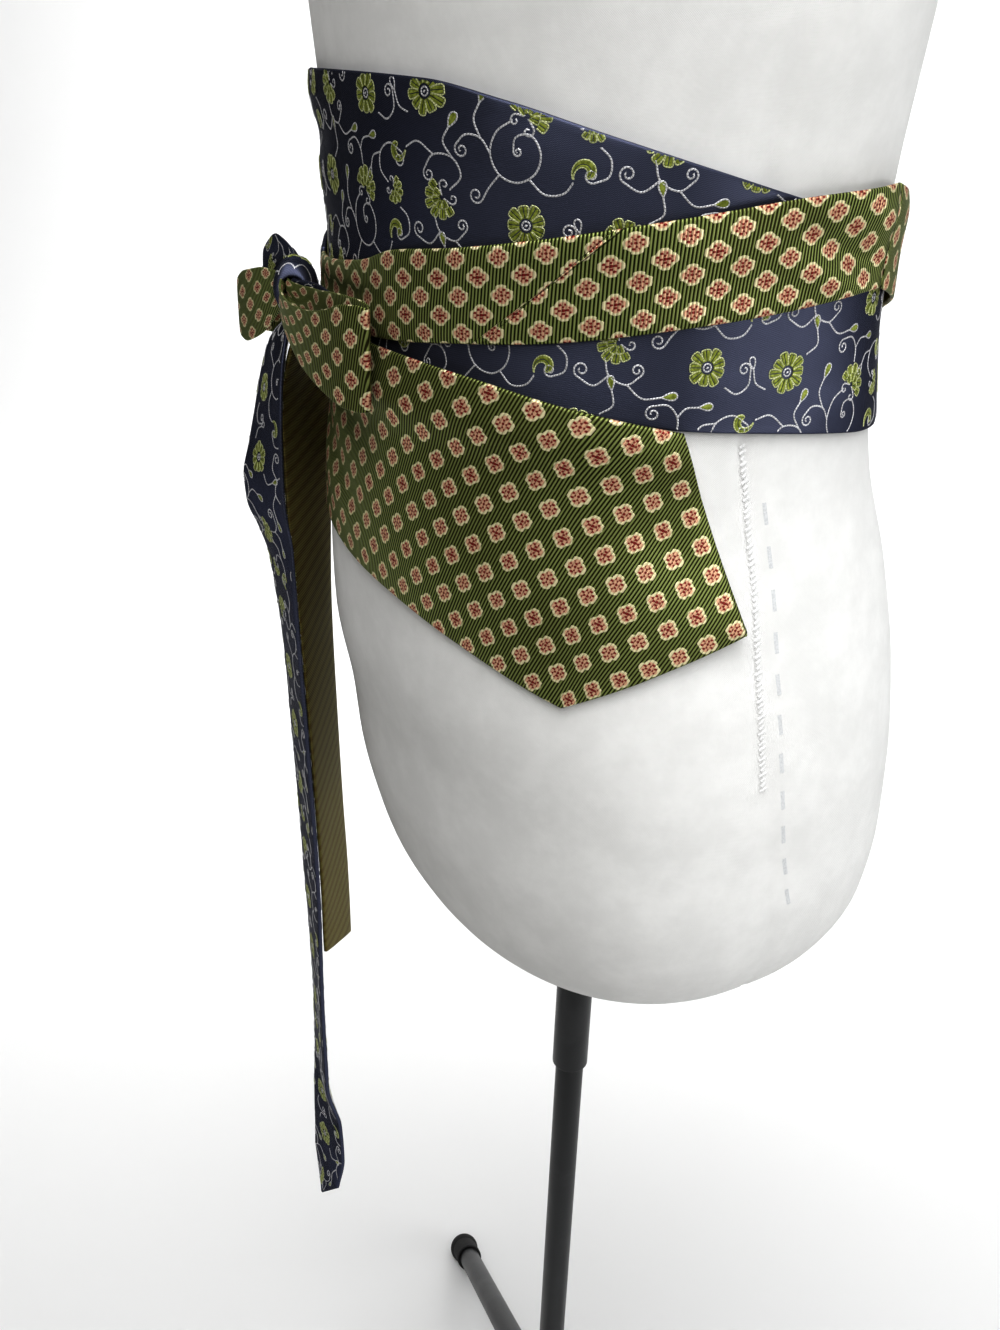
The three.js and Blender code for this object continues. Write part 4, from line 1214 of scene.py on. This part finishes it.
class OBI_PG_sizes(bpy.types.PropertyGroup):
    """Sizes of the weaves and figures, in millimetres."""

    rib_pitch: millimetres("Rib pitch", "From one rib of the twill to the next", 1.12, 0.3)
    medallion_spacing: millimetres("Medallion spacing", "Side of the medallions' lattice", 9.9, 4)
    medallion_width: millimetres("Medallion width", "Across one medallion", 6.3, 2)
    back_stripe: millimetres("Back stripe", "Between stripes of the twill's inner side", 5.8, 1)
    round_sides: IntProperty(
        name="Round sides", description="Flat sides round the stand's tubes", default=56, min=12
    )


def watts(name, description, default):
    return FloatProperty(name=name, description=description, default=default, unit="POWER")


class OBI_PG_stage(bpy.types.PropertyGroup):
    """Strengths of the studio's lights, and the camera's lens."""

    key: watts("Key light", "Large soft light at the right", 27)
    side: watts("Side light", "Low soft light at the right", 6.8)
    top: watts("Top light", "Soft light overhead", 29)
    backdrop: watts("Backdrop light", "On the backdrop", 72)
    surround: FloatProperty(name="Surround", description="Mean strength of the surround", default=0.15)
    falloff: FloatProperty(name="Falloff", description="How much brighter its bright side is", default=0.42)
    bright_azimuth: FloatProperty(name="Bright side", description="Azimuth of its bright side", default=115)
    lens: FloatProperty(name="Lens", description="Focal length", default=33.27, unit="CAMERA")


# ---- Building the cloth --------------------------------------------------------------------------


def band_piece(name, band, count, shader, first=None, last=None):
    """A band's wall, closed and fine, with its tie coordinates."""
    first, last = band.span(first, last)
    ends = band.rows["azimuth"]
    corners = ends[(band.rows["corner"] > 0) & (ends > first) & (ends < last)]
    inner = np.arange(first, last)[1:]
    clear = [np.abs(np.append(corners, last) - a).min() > STATION_GAP for a in inner]
    inner = inner[clear]
    stations = np.sort(np.concatenate([[first, last], corners, inner]))
    width = float(np.median(band.rows["high"] - band.rows["low"]))
    profile = wall_profile(count, BAND_EDGE / width)
    points, along, beside = band.place(stations[:, None], profile[None, :, 0], profile[None, :, 1])
    face = np.broadcast_to(np.sign(profile[:, 1] + 0.01), along.shape)
    tie = np.stack([along, beside, face], -1).reshape(-1, 3)
    made = new_object(name, points.reshape(-1, 3), tube_faces(len(stations), count), [shader], tie=tie)
    return finish_piece(made, name)


def cut_of(band, first=None, last=None):
    """Flat width, length and area of a band as it was cut, in metres."""
    azimuth = np.linspace(*band.span(first, last), 200)
    low, high = read(band.rows, "low", azimuth), read(band.rows, "high", azimuth)
    width = high - low
    level = level_steps(skin_point(azimuth, (high + low) / 2, LINE_STAND_OFF))
    area = float(np.sum(level * (width[1:] + width[:-1]) / 2))
    edges = [band.line.tie_place(azimuth + band.turn, edge) for edge in (low, high)]
    along, beside = np.concatenate(edges, axis=1)
    return (np.ptp(beside) * MM, np.ptp(along) * MM), area * MM * MM


def finish_piece(made, *nodes, slot=None):
    """Fastens a piece to the part's body, and hides the solids that it stands in for."""
    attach(made, "root")
    if nodes:
        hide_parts(*nodes)
    return made


def strip_piece(name, strip, count, shader, inner_shows=False):
    """A strip's wall, closed and fine, with its tie coordinates."""
    profile = wall_profile(count, STRIP_WALL_EDGE)
    across = profile[:, 0] * 2 - 1
    along = strip.along[:, None]
    points = strip.place(along, across[None], profile[None, :, 1])
    face = profile[:, 1] - 0.75 if inner_shows else np.ones(len(profile))
    tie = np.stack(np.broadcast_arrays(along, across * strip.width / 2, face), -1)
    faces = tube_faces(len(strip.along), count)
    made = new_object(name, points.reshape(-1, 3), faces, [shader], tie=tie.reshape(-1, 3))
    return finish_piece(made, name)


def build_bands():
    """The bands in the order in which they were wound."""
    navy_line, olive_line = Line(NAVY_LINE), Line(OLIVE_LINE)
    blade = Band(NAVY_BLADE, navy_line, creases=NAVY_CREASES)
    neck = Band(NAVY_NECK, navy_line, under=[(blade, -360)], creases=NAVY_BACK_CREASES)
    hip = Band(OLIVE_BLADE, olive_line, under=[(blade, 0), (neck, 360)], creases=HIP_CREASES)
    behind = Band(
        OLIVE_NECK, olive_line, turn=-360, under=[(blade, 0), (blade, -360), (neck, 0)],
        creases=OLIVE_BACK_CREASES,
    )
    strap = Band(OLIVE_STRAP, olive_line, turn=-360, under=[(blade, 0)], creases=STRAP_CREASES)
    return {"navy_blade": blade, "navy_neck": neck, "olive_blade": hip, "olive_neck": behind, "strap": strap}


class Builder:
    """Shared bits of the operators, which all build something and can be undone."""

    bl_options = {"REGISTER", "UNDO"}

    def execute(self, context):
        self.build(context)
        return {"FINISHED"}


class OBI_OT_navy_bands(Builder, bpy.types.Operator):
    """Winds the navy tie's wide end and its narrow half round the waist"""

    bl_idname = "obi.navy_bands"
    bl_label = "Navy bands"

    def build(self, context):
        bands = build_bands()
        ground = material(navy_satin)
        for name, count in (("navy_blade", 46), ("navy_neck", 30)):
            band = bands[name]
            cloth = band_piece(name, band, count, ground)
            start, end = band.span()
            first, _ = band.line.tie_place(start + 2, 870.0)
            last, _ = band.line.tie_place(end - 0.3, 850.0)
            figures = brocade_on(f"{name}_figures", band.outside, first, last, NAVY_HALF_WIDTH, (0, 0))
            flat, area = cut_of(band)


class OBI_OT_olive_bands(Builder, bpy.types.Operator):
    """Winds the olive tie: the wide end over the hip, round the back and the strap across the front"""

    bl_idname = "obi.olive_bands"
    bl_label = "Olive bands"

    def build(self, context):
        bands = build_bands()
        parts = (
            ("olive_blade", bands["olive_blade"], olive_twill, 50, None, None),
            ("olive_neck", bands["olive_neck"], olive_twill, 30, None, None),
            ("olive_strap_left", bands["strap"], pulled_twill, 24, None, STRAP_JOIN - JOIN_HALF_GAP),
            ("olive_strap_right", bands["strap"], pulled_twill, 24, STRAP_JOIN + JOIN_HALF_GAP, None),
        )
        for name, band, shader, count, first, last in parts:
            cloth = band_piece(name, band, count, material(shader), first, last)
            flat, area = cut_of(band, first, last)


# Folds that run round the wrap: place across it, width, depth and where they wander.
WRAP_ROUND = 62  # how far it is round the wrap
WRAP_WALL = 1.6
WRAP_END, WRAP_SWELL = 5.6, 0.3  # how far its ends reach, and how much fuller it is than its solid
WRAP_FOLDS = ((-0.5, 0.16, 0.9, 0.3), (0.05, 0.13, 1.1, 2.0), (0.5, 0.17, 0.8, 4.1))


# The loops' gathers: how many waves across, their phase and their height as a share.
GATHER_FOLDS = ((2.2, 0.4, 0.6), (3.7, 1.9, 0.4))
GATHER_HEIGHT, GATHER_REACH = 0.45, 16


def gathers(length):
    """Pleats that the knot squeezes into a strip's ends."""

    def lift(along, across):
        near = np.exp(-((along / GATHER_REACH) ** 2)) + np.exp(-(((length - along) / GATHER_REACH) ** 2))
        waves = sum(h * np.cos(math.pi * across * n + p) for n, p, h in GATHER_FOLDS)
        return GATHER_HEIGHT * near * waves

    return lift


class OBI_OT_bow(Builder, bpy.types.Operator):
    """Ties the bow: its two pairs of loops and the wrap that binds them"""

    bl_idname = "obi.bow"
    bl_label = "Bow"

    def build(self, context):
        navy, twill = material(navy_satin), material(olive_twill)
        plans = (
            ("olive_loop_near", OLIVE_LOOP_NEAR, LOOP_THICK, 170, 36, twill, "olive_twill"),
            ("navy_loop_near", NAVY_LOOP_NEAR, FLAT_LOOP_THICK, 80, 36, navy, "navy_brocade"),
            ("olive_loop_far", OLIVE_LOOP_FAR, LOOP_THICK, 150, 34, twill, "olive_twill"),
            ("navy_loop_far", NAVY_LOOP_FAR, LOOP_THICK, 130, 34, navy, "navy_brocade"),
        )
        for name, rows, thick, sections, width, shader, slot in plans:
            length = float(loop_strip(rows, thick, sections, width).along[-1])
            strip = loop_strip(rows, thick, sections, width, gathers(length))
            cloth = strip_piece(name, strip, 26, shader)
            figures = []
            if slot == "navy_brocade":
                figures = brocade_on_both(name, strip, ("outer", "inner"), length, width / 2, (11, 9))
            # The area is the outline's, drawn in by the knot, and not the whole strip's: the cloth that
            # the gathers fold away isn't modelled or counted.
            width * MM
            strip.flat_area()
        self.wrap(navy)

    def bulge(self, angle, across, reach):
        """How far the wrap's outside reaches: full in the middle, drawn in at its ends, and folded."""
        across = np.clip(across, -1, 1)
        found = reach - (reach - WRAP_END) * np.abs(across) ** 3 + WRAP_SWELL
        for middle, width, height, phase in WRAP_FOLDS:
            centre = middle + 0.12 * np.sin(angle + phase)
            found = found - height * np.exp(-(((across - centre) / width) ** 2))
        return found

    def wrap(self, shader):
        """The wrap round the loops' roots, with folds that run round it."""
        turns, count = 96, 30
        angle = np.linspace(0, TURN, turns, endpoint=False)[:, None]
        profile = wall_profile(count, 0.045)
        across = profile[None, :, 0] * 2 - 1
        inward = -WRAP_WALL * (1 - profile[None, :, 1]) / 2
        depth = self.bulge(angle, across, KNOT_DEPTH / 2) + inward
        height = self.bulge(angle, across, KNOT_HALF_HEIGHT) + inward
        centre_out = KNOT_BACK + KNOT_DEPTH / 2
        points = bow_point(
            across * KNOT_LENGTH / 2 + 0 * angle,
            centre_out + depth * np.cos(angle),
            KNOT_HEIGHT + height * np.sin(angle),
        )
        faces = ring_faces(turns, len(profile), closed=True)
        tie = np.broadcast_arrays(angle / TURN * WRAP_ROUND, across * KNOT_LENGTH / 2, 1.0)
        tie = np.stack(tie, -1).reshape(-1, 3)
        made = new_object("bow_knot", points.reshape(-1, 3), faces, [shader], tie=tie)
        finish_piece(made, "bow_knot", slot="navy_brocade")

        def place(round_knot, beside):
            turn = round_knot / WRAP_ROUND * TURN
            across_here = beside / (KNOT_LENGTH / 2)
            found = bow_point(
                beside, centre_out + self.bulge(turn, across_here, KNOT_DEPTH / 2) * np.cos(turn),
                KNOT_HEIGHT + self.bulge(turn, across_here, KNOT_HALF_HEIGHT) * np.sin(turn),
            )
            out = OUT * np.cos(turn)[:, None] + UP * np.sin(turn)[:, None]
            inside = (np.abs(across_here) < 0.93) & (round_knot >= 0) & (round_knot < WRAP_ROUND)
            return found, out, inside

        figures = brocade_on("bow_knot_figures", place, 0, WRAP_ROUND, 10.5, (5, 14))


NAVY_END_WIDTH, OLIVE_END_WIDTH = 36, 35


def navy_ripples(along, across):
    """The navy end's soft waves: by the bow, under it and over its twist."""
    return (
        0.5 * np.exp(-((along / 30) ** 2)) * np.cos(across * 5)
        + 0.5 * np.exp(-(((along - 90) / 26) ** 2)) * (1 - across**2)
        - 0.5 * np.exp(-(((along - 395) / 18) ** 2)) * np.cos(across * 3 + 0.6)
    )


def olive_fold(along, across):
    return 0.4 * np.exp(-((along / 30) ** 2)) * np.cos(across * 4 + 1)


class OBI_OT_tails(Builder, bpy.types.Operator):
    """Hangs the two narrow ends from the bow"""

    bl_idname = "obi.tails"
    bl_label = "Hanging ends"

    def build(self, context):
        length = float(tail_strip(NAVY_TAIL, TIE_THICK, 60, NAVY_END_WIDTH).along[-1])
        strip = tail_strip(NAVY_TAIL, TIE_THICK, 260, NAVY_END_WIDTH, navy_ripples)
        cloth = strip_piece("navy_tail", strip, 22, material(navy_satin))
        half = NAVY_END_WIDTH / 2
        figures = brocade_on_both("navy_tail", strip, ("front", "back"), length - 3, half, (20, 12))

        strip = tail_strip(OLIVE_TAIL, TIE_THICK, 170, OLIVE_END_WIDTH, olive_fold)
        length = float(strip.along[-1])
        cloth = strip_piece("olive_tail", strip, 22, material(olive_twill), inner_shows=True)


# ---- The form and its stand ----------------------------------------------------------------------

SIDE_SEAM = table("height azimuth", [
    (582, 94.5), (623, 93), (685, 87), (734, 85), (767, 84), (799, 82), (818, 80.5), (880, 79.5),
    (960, 81), (1060, 84), (1150, 88), (1218, 90),
])


FORM_LOW, FORM_HIGH = 582, 1285
FORM_SIDES, RING_STEP = 200, 3.5
SEAM_DEPTH, SEAM_WIDTH = 1.1, 1.7
WEAVE_RADIUS = 105  # how far round the form the cover's weave is told
WHIP_COUNT, WHIP_TOP, WHIP_PITCH = 62, 816, 1.9
RUN_COUNT, RUN_TOP, RUN_PITCH, RUN_LENGTH = 11, 798, 14.2, 8.6


def seam_azimuth(height):
    return read(SIDE_SEAM, "azimuth", height, "height")


class OBI_OT_form(Builder, bpy.types.Operator):
    """Builds the padded form with its side seams and stitches, and its neck cap"""

    bl_idname = "obi.form"
    bl_label = "Form"

    def build(self, context):
        cover = material(form_cover)
        low_rim, high_rim = [FORM_LOW, FORM_LOW + 1, FORM_LOW + 3], [FORM_HIGH - 2, FORM_HIGH]
        between = np.arange(FORM_LOW + 6, FORM_HIGH - 2, RING_STEP)
        heights = np.concatenate([low_rim, between, high_rim])
        azimuth = np.linspace(-180, 180, FORM_SIDES, endpoint=False)
        level, round_form = heights[:, None], azimuth[None]
        stand_off = 0.0 * level * round_form
        for hand in (-1, 1):
            away = (round_form - hand * seam_azimuth(level)) * MM_PER_DEGREE
            fade = smooth(level, 584, 600) * (1 - smooth(level, 1200, 1225))
            stand_off = stand_off - fade * SEAM_DEPTH * np.exp(-((away / SEAM_WIDTH) ** 2))
        stand_off = stand_off - 1.2 * (1 - smooth(level, FORM_LOW, FORM_LOW + 4))
        stand_off = stand_off - smooth(level, FORM_HIGH - 2, FORM_HIGH)
        points = skin_point(round_form, level, stand_off).reshape(-1, 3)
        tie = np.broadcast_arrays(np.radians(round_form) * WEAVE_RADIUS, level, 1.0)
        tie = np.stack(tie, -1).reshape(-1, 3)
        top = (len(heights) - 1) * FORM_SIDES
        faces = ring_faces(len(heights), FORM_SIDES)
        faces += [list(range(FORM_SIDES)), [top + s for s in range(FORM_SIDES)]]
        form = new_object("form_body", points, faces, [cover], tie=tie)
        finish_piece(form, "form_body", slot="form_cover")
        self.stitches()
        cap = [(0, 1285.3), (45, 1285.3, 1.2), (45, 1293.3, 2.2), (0, 1293.3)]
        lathe("neck_cap", cap, 96, cover, "form_cover")

    def stitches(self):
        """Whip stitches over each side seam, and the row of running stitches behind it."""
        for hand, word in ((1, "left"), (-1, "right")):
            whip, run = Figures(), Figures()
            for k in range(WHIP_COUNT):
                height = WHIP_TOP - k * WHIP_PITCH
                reach = 1.1 + 0.4 * math.sin(k * 2.3)
                whip.rope([(-reach, height - 0.5), (reach, height + 0.7)], 0.9, SILVER, 2.8, 0.1)
            for k in range(RUN_COUNT):
                height = RUN_TOP - k * RUN_PITCH
                ends = [(6.6 + 0.2 * math.sin(k), height), (6.9, height - RUN_LENGTH)]
                run.rope(ends, 1.5, SILVER, RUN_LENGTH, 0.0)
            for kind, drawn, shader in (("whip", whip, cover_thread), ("running", run, mark_thread)):
                flat = np.array(drawn.points)
                azimuth = hand * (seam_azimuth(flat[:, 1]) + flat[:, 0] / MM_PER_DEGREE)
                points = skin_point(azimuth, flat[:, 1], flat[:, 2] - 0.1)
                name = f"{kind}_stitches_{word}"
                piece = new_object(name, points, drawn.faces, [material(shader)])
                finish_piece(piece, slot="form_cover")


def rounded(profile, steps=4):
    """A profile's (radius, height, rounding) corners as a line of points."""
    corners = [np.array(corner[:2], float) for corner in profile]
    made = []
    for i, corner in enumerate(profile):
        radius = corner[2] if len(corner) > 2 else 0
        if not radius or i in (0, len(profile) - 1):
            made.append(corners[i])
            continue
        before, after = corners[i - 1] - corners[i], corners[i + 1] - corners[i]
        start = corners[i] + before / np.linalg.norm(before) * radius
        end = corners[i] + after / np.linalg.norm(after) * radius
        for t in np.linspace(0, 1, steps + 1):
            made.append((1 - t) ** 2 * start + 2 * t * (1 - t) * corners[i] + t * t * end)
    return made


def turned(profile, sides, start=None, end=None):
    """Points and faces of a turned solid; with start and end it stands on that line."""
    line = rounded(profile)
    angles = np.linspace(0, 2 * math.pi, sides, endpoint=False)
    radius, height = np.array(line).T[:, :, None]
    rings = np.broadcast_arrays(radius * np.cos(angles), radius * np.sin(angles), height)
    points = np.stack(rings, -1).reshape(-1, 3)
    if start is not None:
        turn = Vector(end - start).to_track_quat("Z", "Y").to_matrix()
        points = points @ np.array(turn).T + start
    return points, ring_faces(len(line), sides)


def joined(*parts):
    """Several (points, faces) as one."""
    points, faces = [], []
    for more, their_faces in parts:
        start = len(points)
        points += more.tolist()
        faces += [[start + v for v in face] for face in their_faces]
    return np.array(points), faces


def lathe(name, profile, sides, shader, slot, start=None, end=None):
    """A turned piece, for the solid of the same name."""
    return solid(name, *turned(profile, sides, start, end), shader, slot)


def solid(name, points, faces, shader, slot):
    """A piece whose rings on its axis are closed to a point, for the solid of the same name."""
    tie = np.stack([np.arctan2(points[:, 1], points[:, 0]) * 45, points[:, 2], 0 * points[:, 2]], -1)
    made = new_object(name, points, faces, [shader], tie=tie)
    work = bmesh.new()
    work.from_mesh(made.data)
    bmesh.ops.dissolve_degenerate(work, edges=work.edges, dist=1e-6)
    bmesh.ops.recalc_face_normals(work, faces=work.faces)
    work.to_mesh(made.data)
    work.free()
    made.data.polygons.foreach_set("use_smooth", [True] * len(made.data.polygons))
    made.data.set_sharp_from_angle(angle=math.radians(40))
    return finish_piece(made, name, slot=slot)


LEG_AZIMUTHS = (-105, 15, 135)
HUB_OUT, HUB_HEIGHT = 11.4, 194
FOOT_OUT, FOOT_HEIGHT = 273.5, 8.5
FOOT_RADIUS, FOOT_RINGS = 11.5, 25
SLEEVE_LENGTH = 30
SOCKET = (
    (0, 577.7), (7.3, 577.7), (7.3, 469.7, 0.4), (8.8, 469.7, 0.5), (8.8, 577.7, 0), (34, 577.7, 1),
    (34, 581.7, 1), (0, 581.7),
)
POLE = ((0, 176.3), (7, 176.3, 0.5), (7, 577.4, 0.5), (0, 577.4))
BARREL = ((0, 176), (7.3, 176), (7.3, 214, 0.6), (19, 214, 2.5), (19, 162, 2.5), (0, 162))
STUB = ((0, 0), (11, 0, 0.5), (11, 31, 1.2), (0, 31))
SLEEVE = ((8.3, 27), (8.3, 0.5, 0.4), (10, 0, 0.8), (10, 30), (8.3, 30))


def leg_line(azimuth):
    """A leg's ends on its own axis and its direction."""
    outwards = round_way(azimuth)
    hub = outwards * HUB_OUT + UP * HUB_HEIGHT
    foot = outwards * FOOT_OUT + UP * FOOT_HEIGHT
    run = foot - hub
    return hub, foot, run / np.linalg.norm(run)


class OBI_OT_stand(Builder, bpy.types.Operator):
    """Builds the stand: plate and socket, pole, hub, legs and rubber feet"""

    bl_idname = "obi.stand"
    bl_label = "Stand"

    def build(self, context):
        sides = context.scene.obi_sizes.round_sides
        paint, rubber = material(stand_paint), material(foot_rubber)
        lathe("form_socket", SOCKET, sides, paint, "stand_paint")
        lathe("stand_pole", POLE, sides, paint, "stand_paint")
        stubs = []
        for azimuth in LEG_AZIMUTHS:
            hub, _, run = leg_line(azimuth)
            stubs.append(turned(STUB, sides, hub + run * 3, hub + run * 34))
        solid("stand_hub", *joined(turned(BARREL, sides), *stubs), paint, "stand_paint")
        for index, azimuth in enumerate(LEG_AZIMUTHS, 1):
            hub, foot, run = leg_line(azimuth)
            start, end = hub + run * 34.3, foot - run * 4
            length = float(np.linalg.norm(end - start))
            leg = [(0, 0), (8, 0, 0.4), (8, length, 0.4), (0, length)]
            lathe(f"stand_leg_{index}", leg, sides, paint, "stand_paint", start, end)
            round_ball = [
                (FOOT_RADIUS * math.sin(a), -FOOT_RADIUS * math.cos(a))
                for a in np.linspace(0, math.pi, FOOT_RINGS)
            ]
            ball, ball_faces = turned(round_ball, sides)
            ball = ball + foot
            ball[:, 2] = np.maximum(ball[:, 2], 0)
            sleeve = turned(SLEEVE, sides, foot - run * SLEEVE_LENGTH, foot)
            foot_parts = joined((ball, ball_faces), sleeve)
            solid(f"stand_foot_{index}", *foot_parts, rubber, "foot_rubber")


# ---- Stage ---------------------------------------------------------------------------------------


def soft_light(name, azimuth, rise, distance, size, power, aim):
    """A large square light that faces a point from an azimuth and a rise in degrees."""
    lamp = bpy.data.lights.new(name, "AREA")
    lamp.energy, lamp.size = power, size
    made = bpy.data.objects.new(name, lamp)
    back = Vector(round_way(azimuth) * math.cos(math.radians(rise)))
    back.z = math.sin(math.radians(rise))
    made.location = Vector(aim) + back * distance
    made.rotation_euler = (-back).to_track_quat("-Z", "Y").to_euler()
    bpy.context.scene.collection.objects.link(made)


AWAY_AZIMUTH = VIEW_AZIMUTH + 180
FLOOR_HEIGHT, FLOOR_NEAR, FLOOR_HALF_WIDTH = -0.5, -7000, 4500
SWEEP_START, SWEEP_RADIUS, SWEEP_TOP = 1800, 1600, 6000
CAMERA_TURNS = (25, 4.93, 1.74)  # pitch, pan and roll, in degrees
CAMERA_OUT, CAMERA_HEIGHT = 0.484, 0.915  # from the pole and the floor, in metres


class OBI_OT_stage(Builder, bpy.types.Operator):
    """Lays the pale floor, hangs the soft lights and sets the camera"""

    bl_idname = "obi.stage"
    bl_label = "Stage"

    def build(self, context):
        stage = context.scene.obi_stage
        x, y, belt = AXIS + [0, 0, 0.85]
        self.sweep()
        soft_light("key_light", 66, 44, 1.7, 1.7, stage.key, (x, y, belt))
        soft_light("side_light", 128, -6, 1.6, 0.62, stage.side, (x, y, belt))
        soft_light("top_light", 48, 66, 1.8, 1.3, stage.top, (x, y, 1.2))
        x, y, _ = AXIS + round_way(AWAY_AZIMUTH) * 3.2
        soft_light("backdrop_light", 58, 25, 2.4, 2.0, stage.backdrop, (x, y, 1.0))
        context.scene.world = self.surround(stage)
        context.scene.view_settings.view_transform = "Standard"
        context.scene.view_settings.gamma = 0.8
        self.camera(context, stage.lens)

    def sweep(self):
        """A pale floor that curves up into a backdrop behind the part."""
        away = round_way(AWAY_AZIMUTH)
        beside = np.array([-away[1], away[0], 0])
        wall = SWEEP_START + SWEEP_RADIUS
        profile = [(run, FLOOR_HEIGHT) for run in (FLOOR_NEAR, -2000, SWEEP_START)]
        for a in np.radians(np.linspace(0, 90, 25))[1:]:
            rise = FLOOR_HEIGHT + SWEEP_RADIUS * (1 - math.cos(a))
            profile.append((SWEEP_START + SWEEP_RADIUS * math.sin(a), rise))
        profile += [(wall, 3600), (wall, SWEEP_TOP)]
        points = [
            away * run + beside * wide + UP * height
            for run, height in profile for wide in (-FLOOR_HALF_WIDTH, FLOOR_HALF_WIDTH)
        ]
        faces = [[2 * i, 2 * i + 1, 2 * i + 3, 2 * i + 2] for i in range(len(profile) - 1)]
        new_object("studio_floor", np.array(points), faces, [material(studio_floor)])

    def surround(self, stage):
        """Light that falls off from the bright upper right to the dim left."""
        world = bpy.data.worlds.new("studio surround")
        world.use_nodes = True
        shader = Tree(world.node_tree)
        direction = shader.node("ShaderNodeTexCoord")["Generated"]
        bright = Vector(round_way(stage.bright_azimuth)) * 0.75
        bright.z = 0.4
        level = direction.dot(tuple(bright)) * stage.falloff + stage.surround
        tint = shader.mix(level.ramp(0.0, 0.35), (1.0, 0.84, 0.58), (0.97, 0.99, 1.0))
        background = world.node_tree.nodes["Background"]
        shader.tree.links.new(tint.socket, background.inputs["Color"])
        shader.tree.links.new(level.most(0.03).socket, background.inputs["Strength"])
        return world

    def camera(self, context, lens):
        """Looks down at the part from the front left, panned and rolled a little."""
        lens_data = bpy.data.cameras.new("camera")
        lens_data.lens, lens_data.sensor_width, lens_data.sensor_fit = lens, 36, "AUTO"
        lens_data.clip_start, lens_data.clip_end = 0.02, 60
        made = bpy.data.objects.new("camera", lens_data)
        azimuth, pitch, pan, roll = (math.radians(v) for v in (VIEW_AZIMUTH, *CAMERA_TURNS))
        heading = Vector((-math.sin(azimuth), math.cos(azimuth), 0))
        right = Vector((math.cos(azimuth), math.sin(azimuth), 0))
        level = heading * math.cos(pan) - right * math.sin(pan)
        side = right * math.cos(pan) + heading * math.sin(pan)
        look = level * math.cos(pitch) - Vector((0, 0, math.sin(pitch)))
        up = level * math.sin(pitch) + Vector((0, 0, math.cos(pitch)))
        right, up = (
            side * math.cos(roll) + up * math.sin(roll), up * math.cos(roll) - side * math.sin(roll)
        )
        out = (CAMERA_OUT * math.sin(azimuth), -CAMERA_OUT * math.cos(azimuth), CAMERA_HEIGHT)
        place = Vector(AXIS) + Vector(out)
        made.matrix_world = Matrix((
            (right.x, up.x, -look.x, place.x), (right.y, up.y, -look.y, place.y),
            (right.z, up.z, -look.z, place.z), (0, 0, 0, 1),
        ))
        context.scene.collection.objects.link(made)
        context.scene.camera = made


class OBI_PT_panel(bpy.types.Panel):
    """Lists the part's pieces, sizes and colours."""

    bl_label = "Obi Belt"
    bl_idname = "OBI_PT_panel"
    bl_space_type = "VIEW_3D"
    bl_region_type = "UI"
    bl_category = "Obi Belt"

    def draw(self, context):
        layout = self.layout
        for operator in OPERATORS:
            layout.operator(operator.bl_idname)
        for group in (context.scene.obi_sizes, context.scene.obi_colours, context.scene.obi_stage):
            box = layout.box()
            for name in group.__annotations__:
                box.prop(group, name)


OPERATORS = (
    OBI_OT_form, OBI_OT_stand, OBI_OT_navy_bands, OBI_OT_olive_bands, OBI_OT_bow, OBI_OT_tails,
    OBI_OT_stage,
)
CLASSES = (OBI_PG_colours, OBI_PG_sizes, OBI_PG_stage, *OPERATORS, OBI_PT_panel)


def register():
    for cls in CLASSES:
        bpy.utils.register_class(cls)
    bpy.types.Scene.obi_colours = PointerProperty(type=OBI_PG_colours)
    bpy.types.Scene.obi_sizes = PointerProperty(type=OBI_PG_sizes)
    bpy.types.Scene.obi_stage = PointerProperty(type=OBI_PG_stage)


def unregister():
    for name in ("obi_colours", "obi_sizes", "obi_stage"):
        delattr(bpy.types.Scene, name)
    for cls in reversed(CLASSES):
        bpy.utils.unregister_class(cls)


def main():
    """Builds everything in order."""
    register()
    bpy.ops.obi.form()
    bpy.ops.obi.stand()
    bpy.ops.obi.navy_bands()
    bpy.ops.obi.olive_bands()
    bpy.ops.obi.bow()
    bpy.ops.obi.tails()
    bpy.ops.obi.stage()


if __name__ == "__main__":
    main()
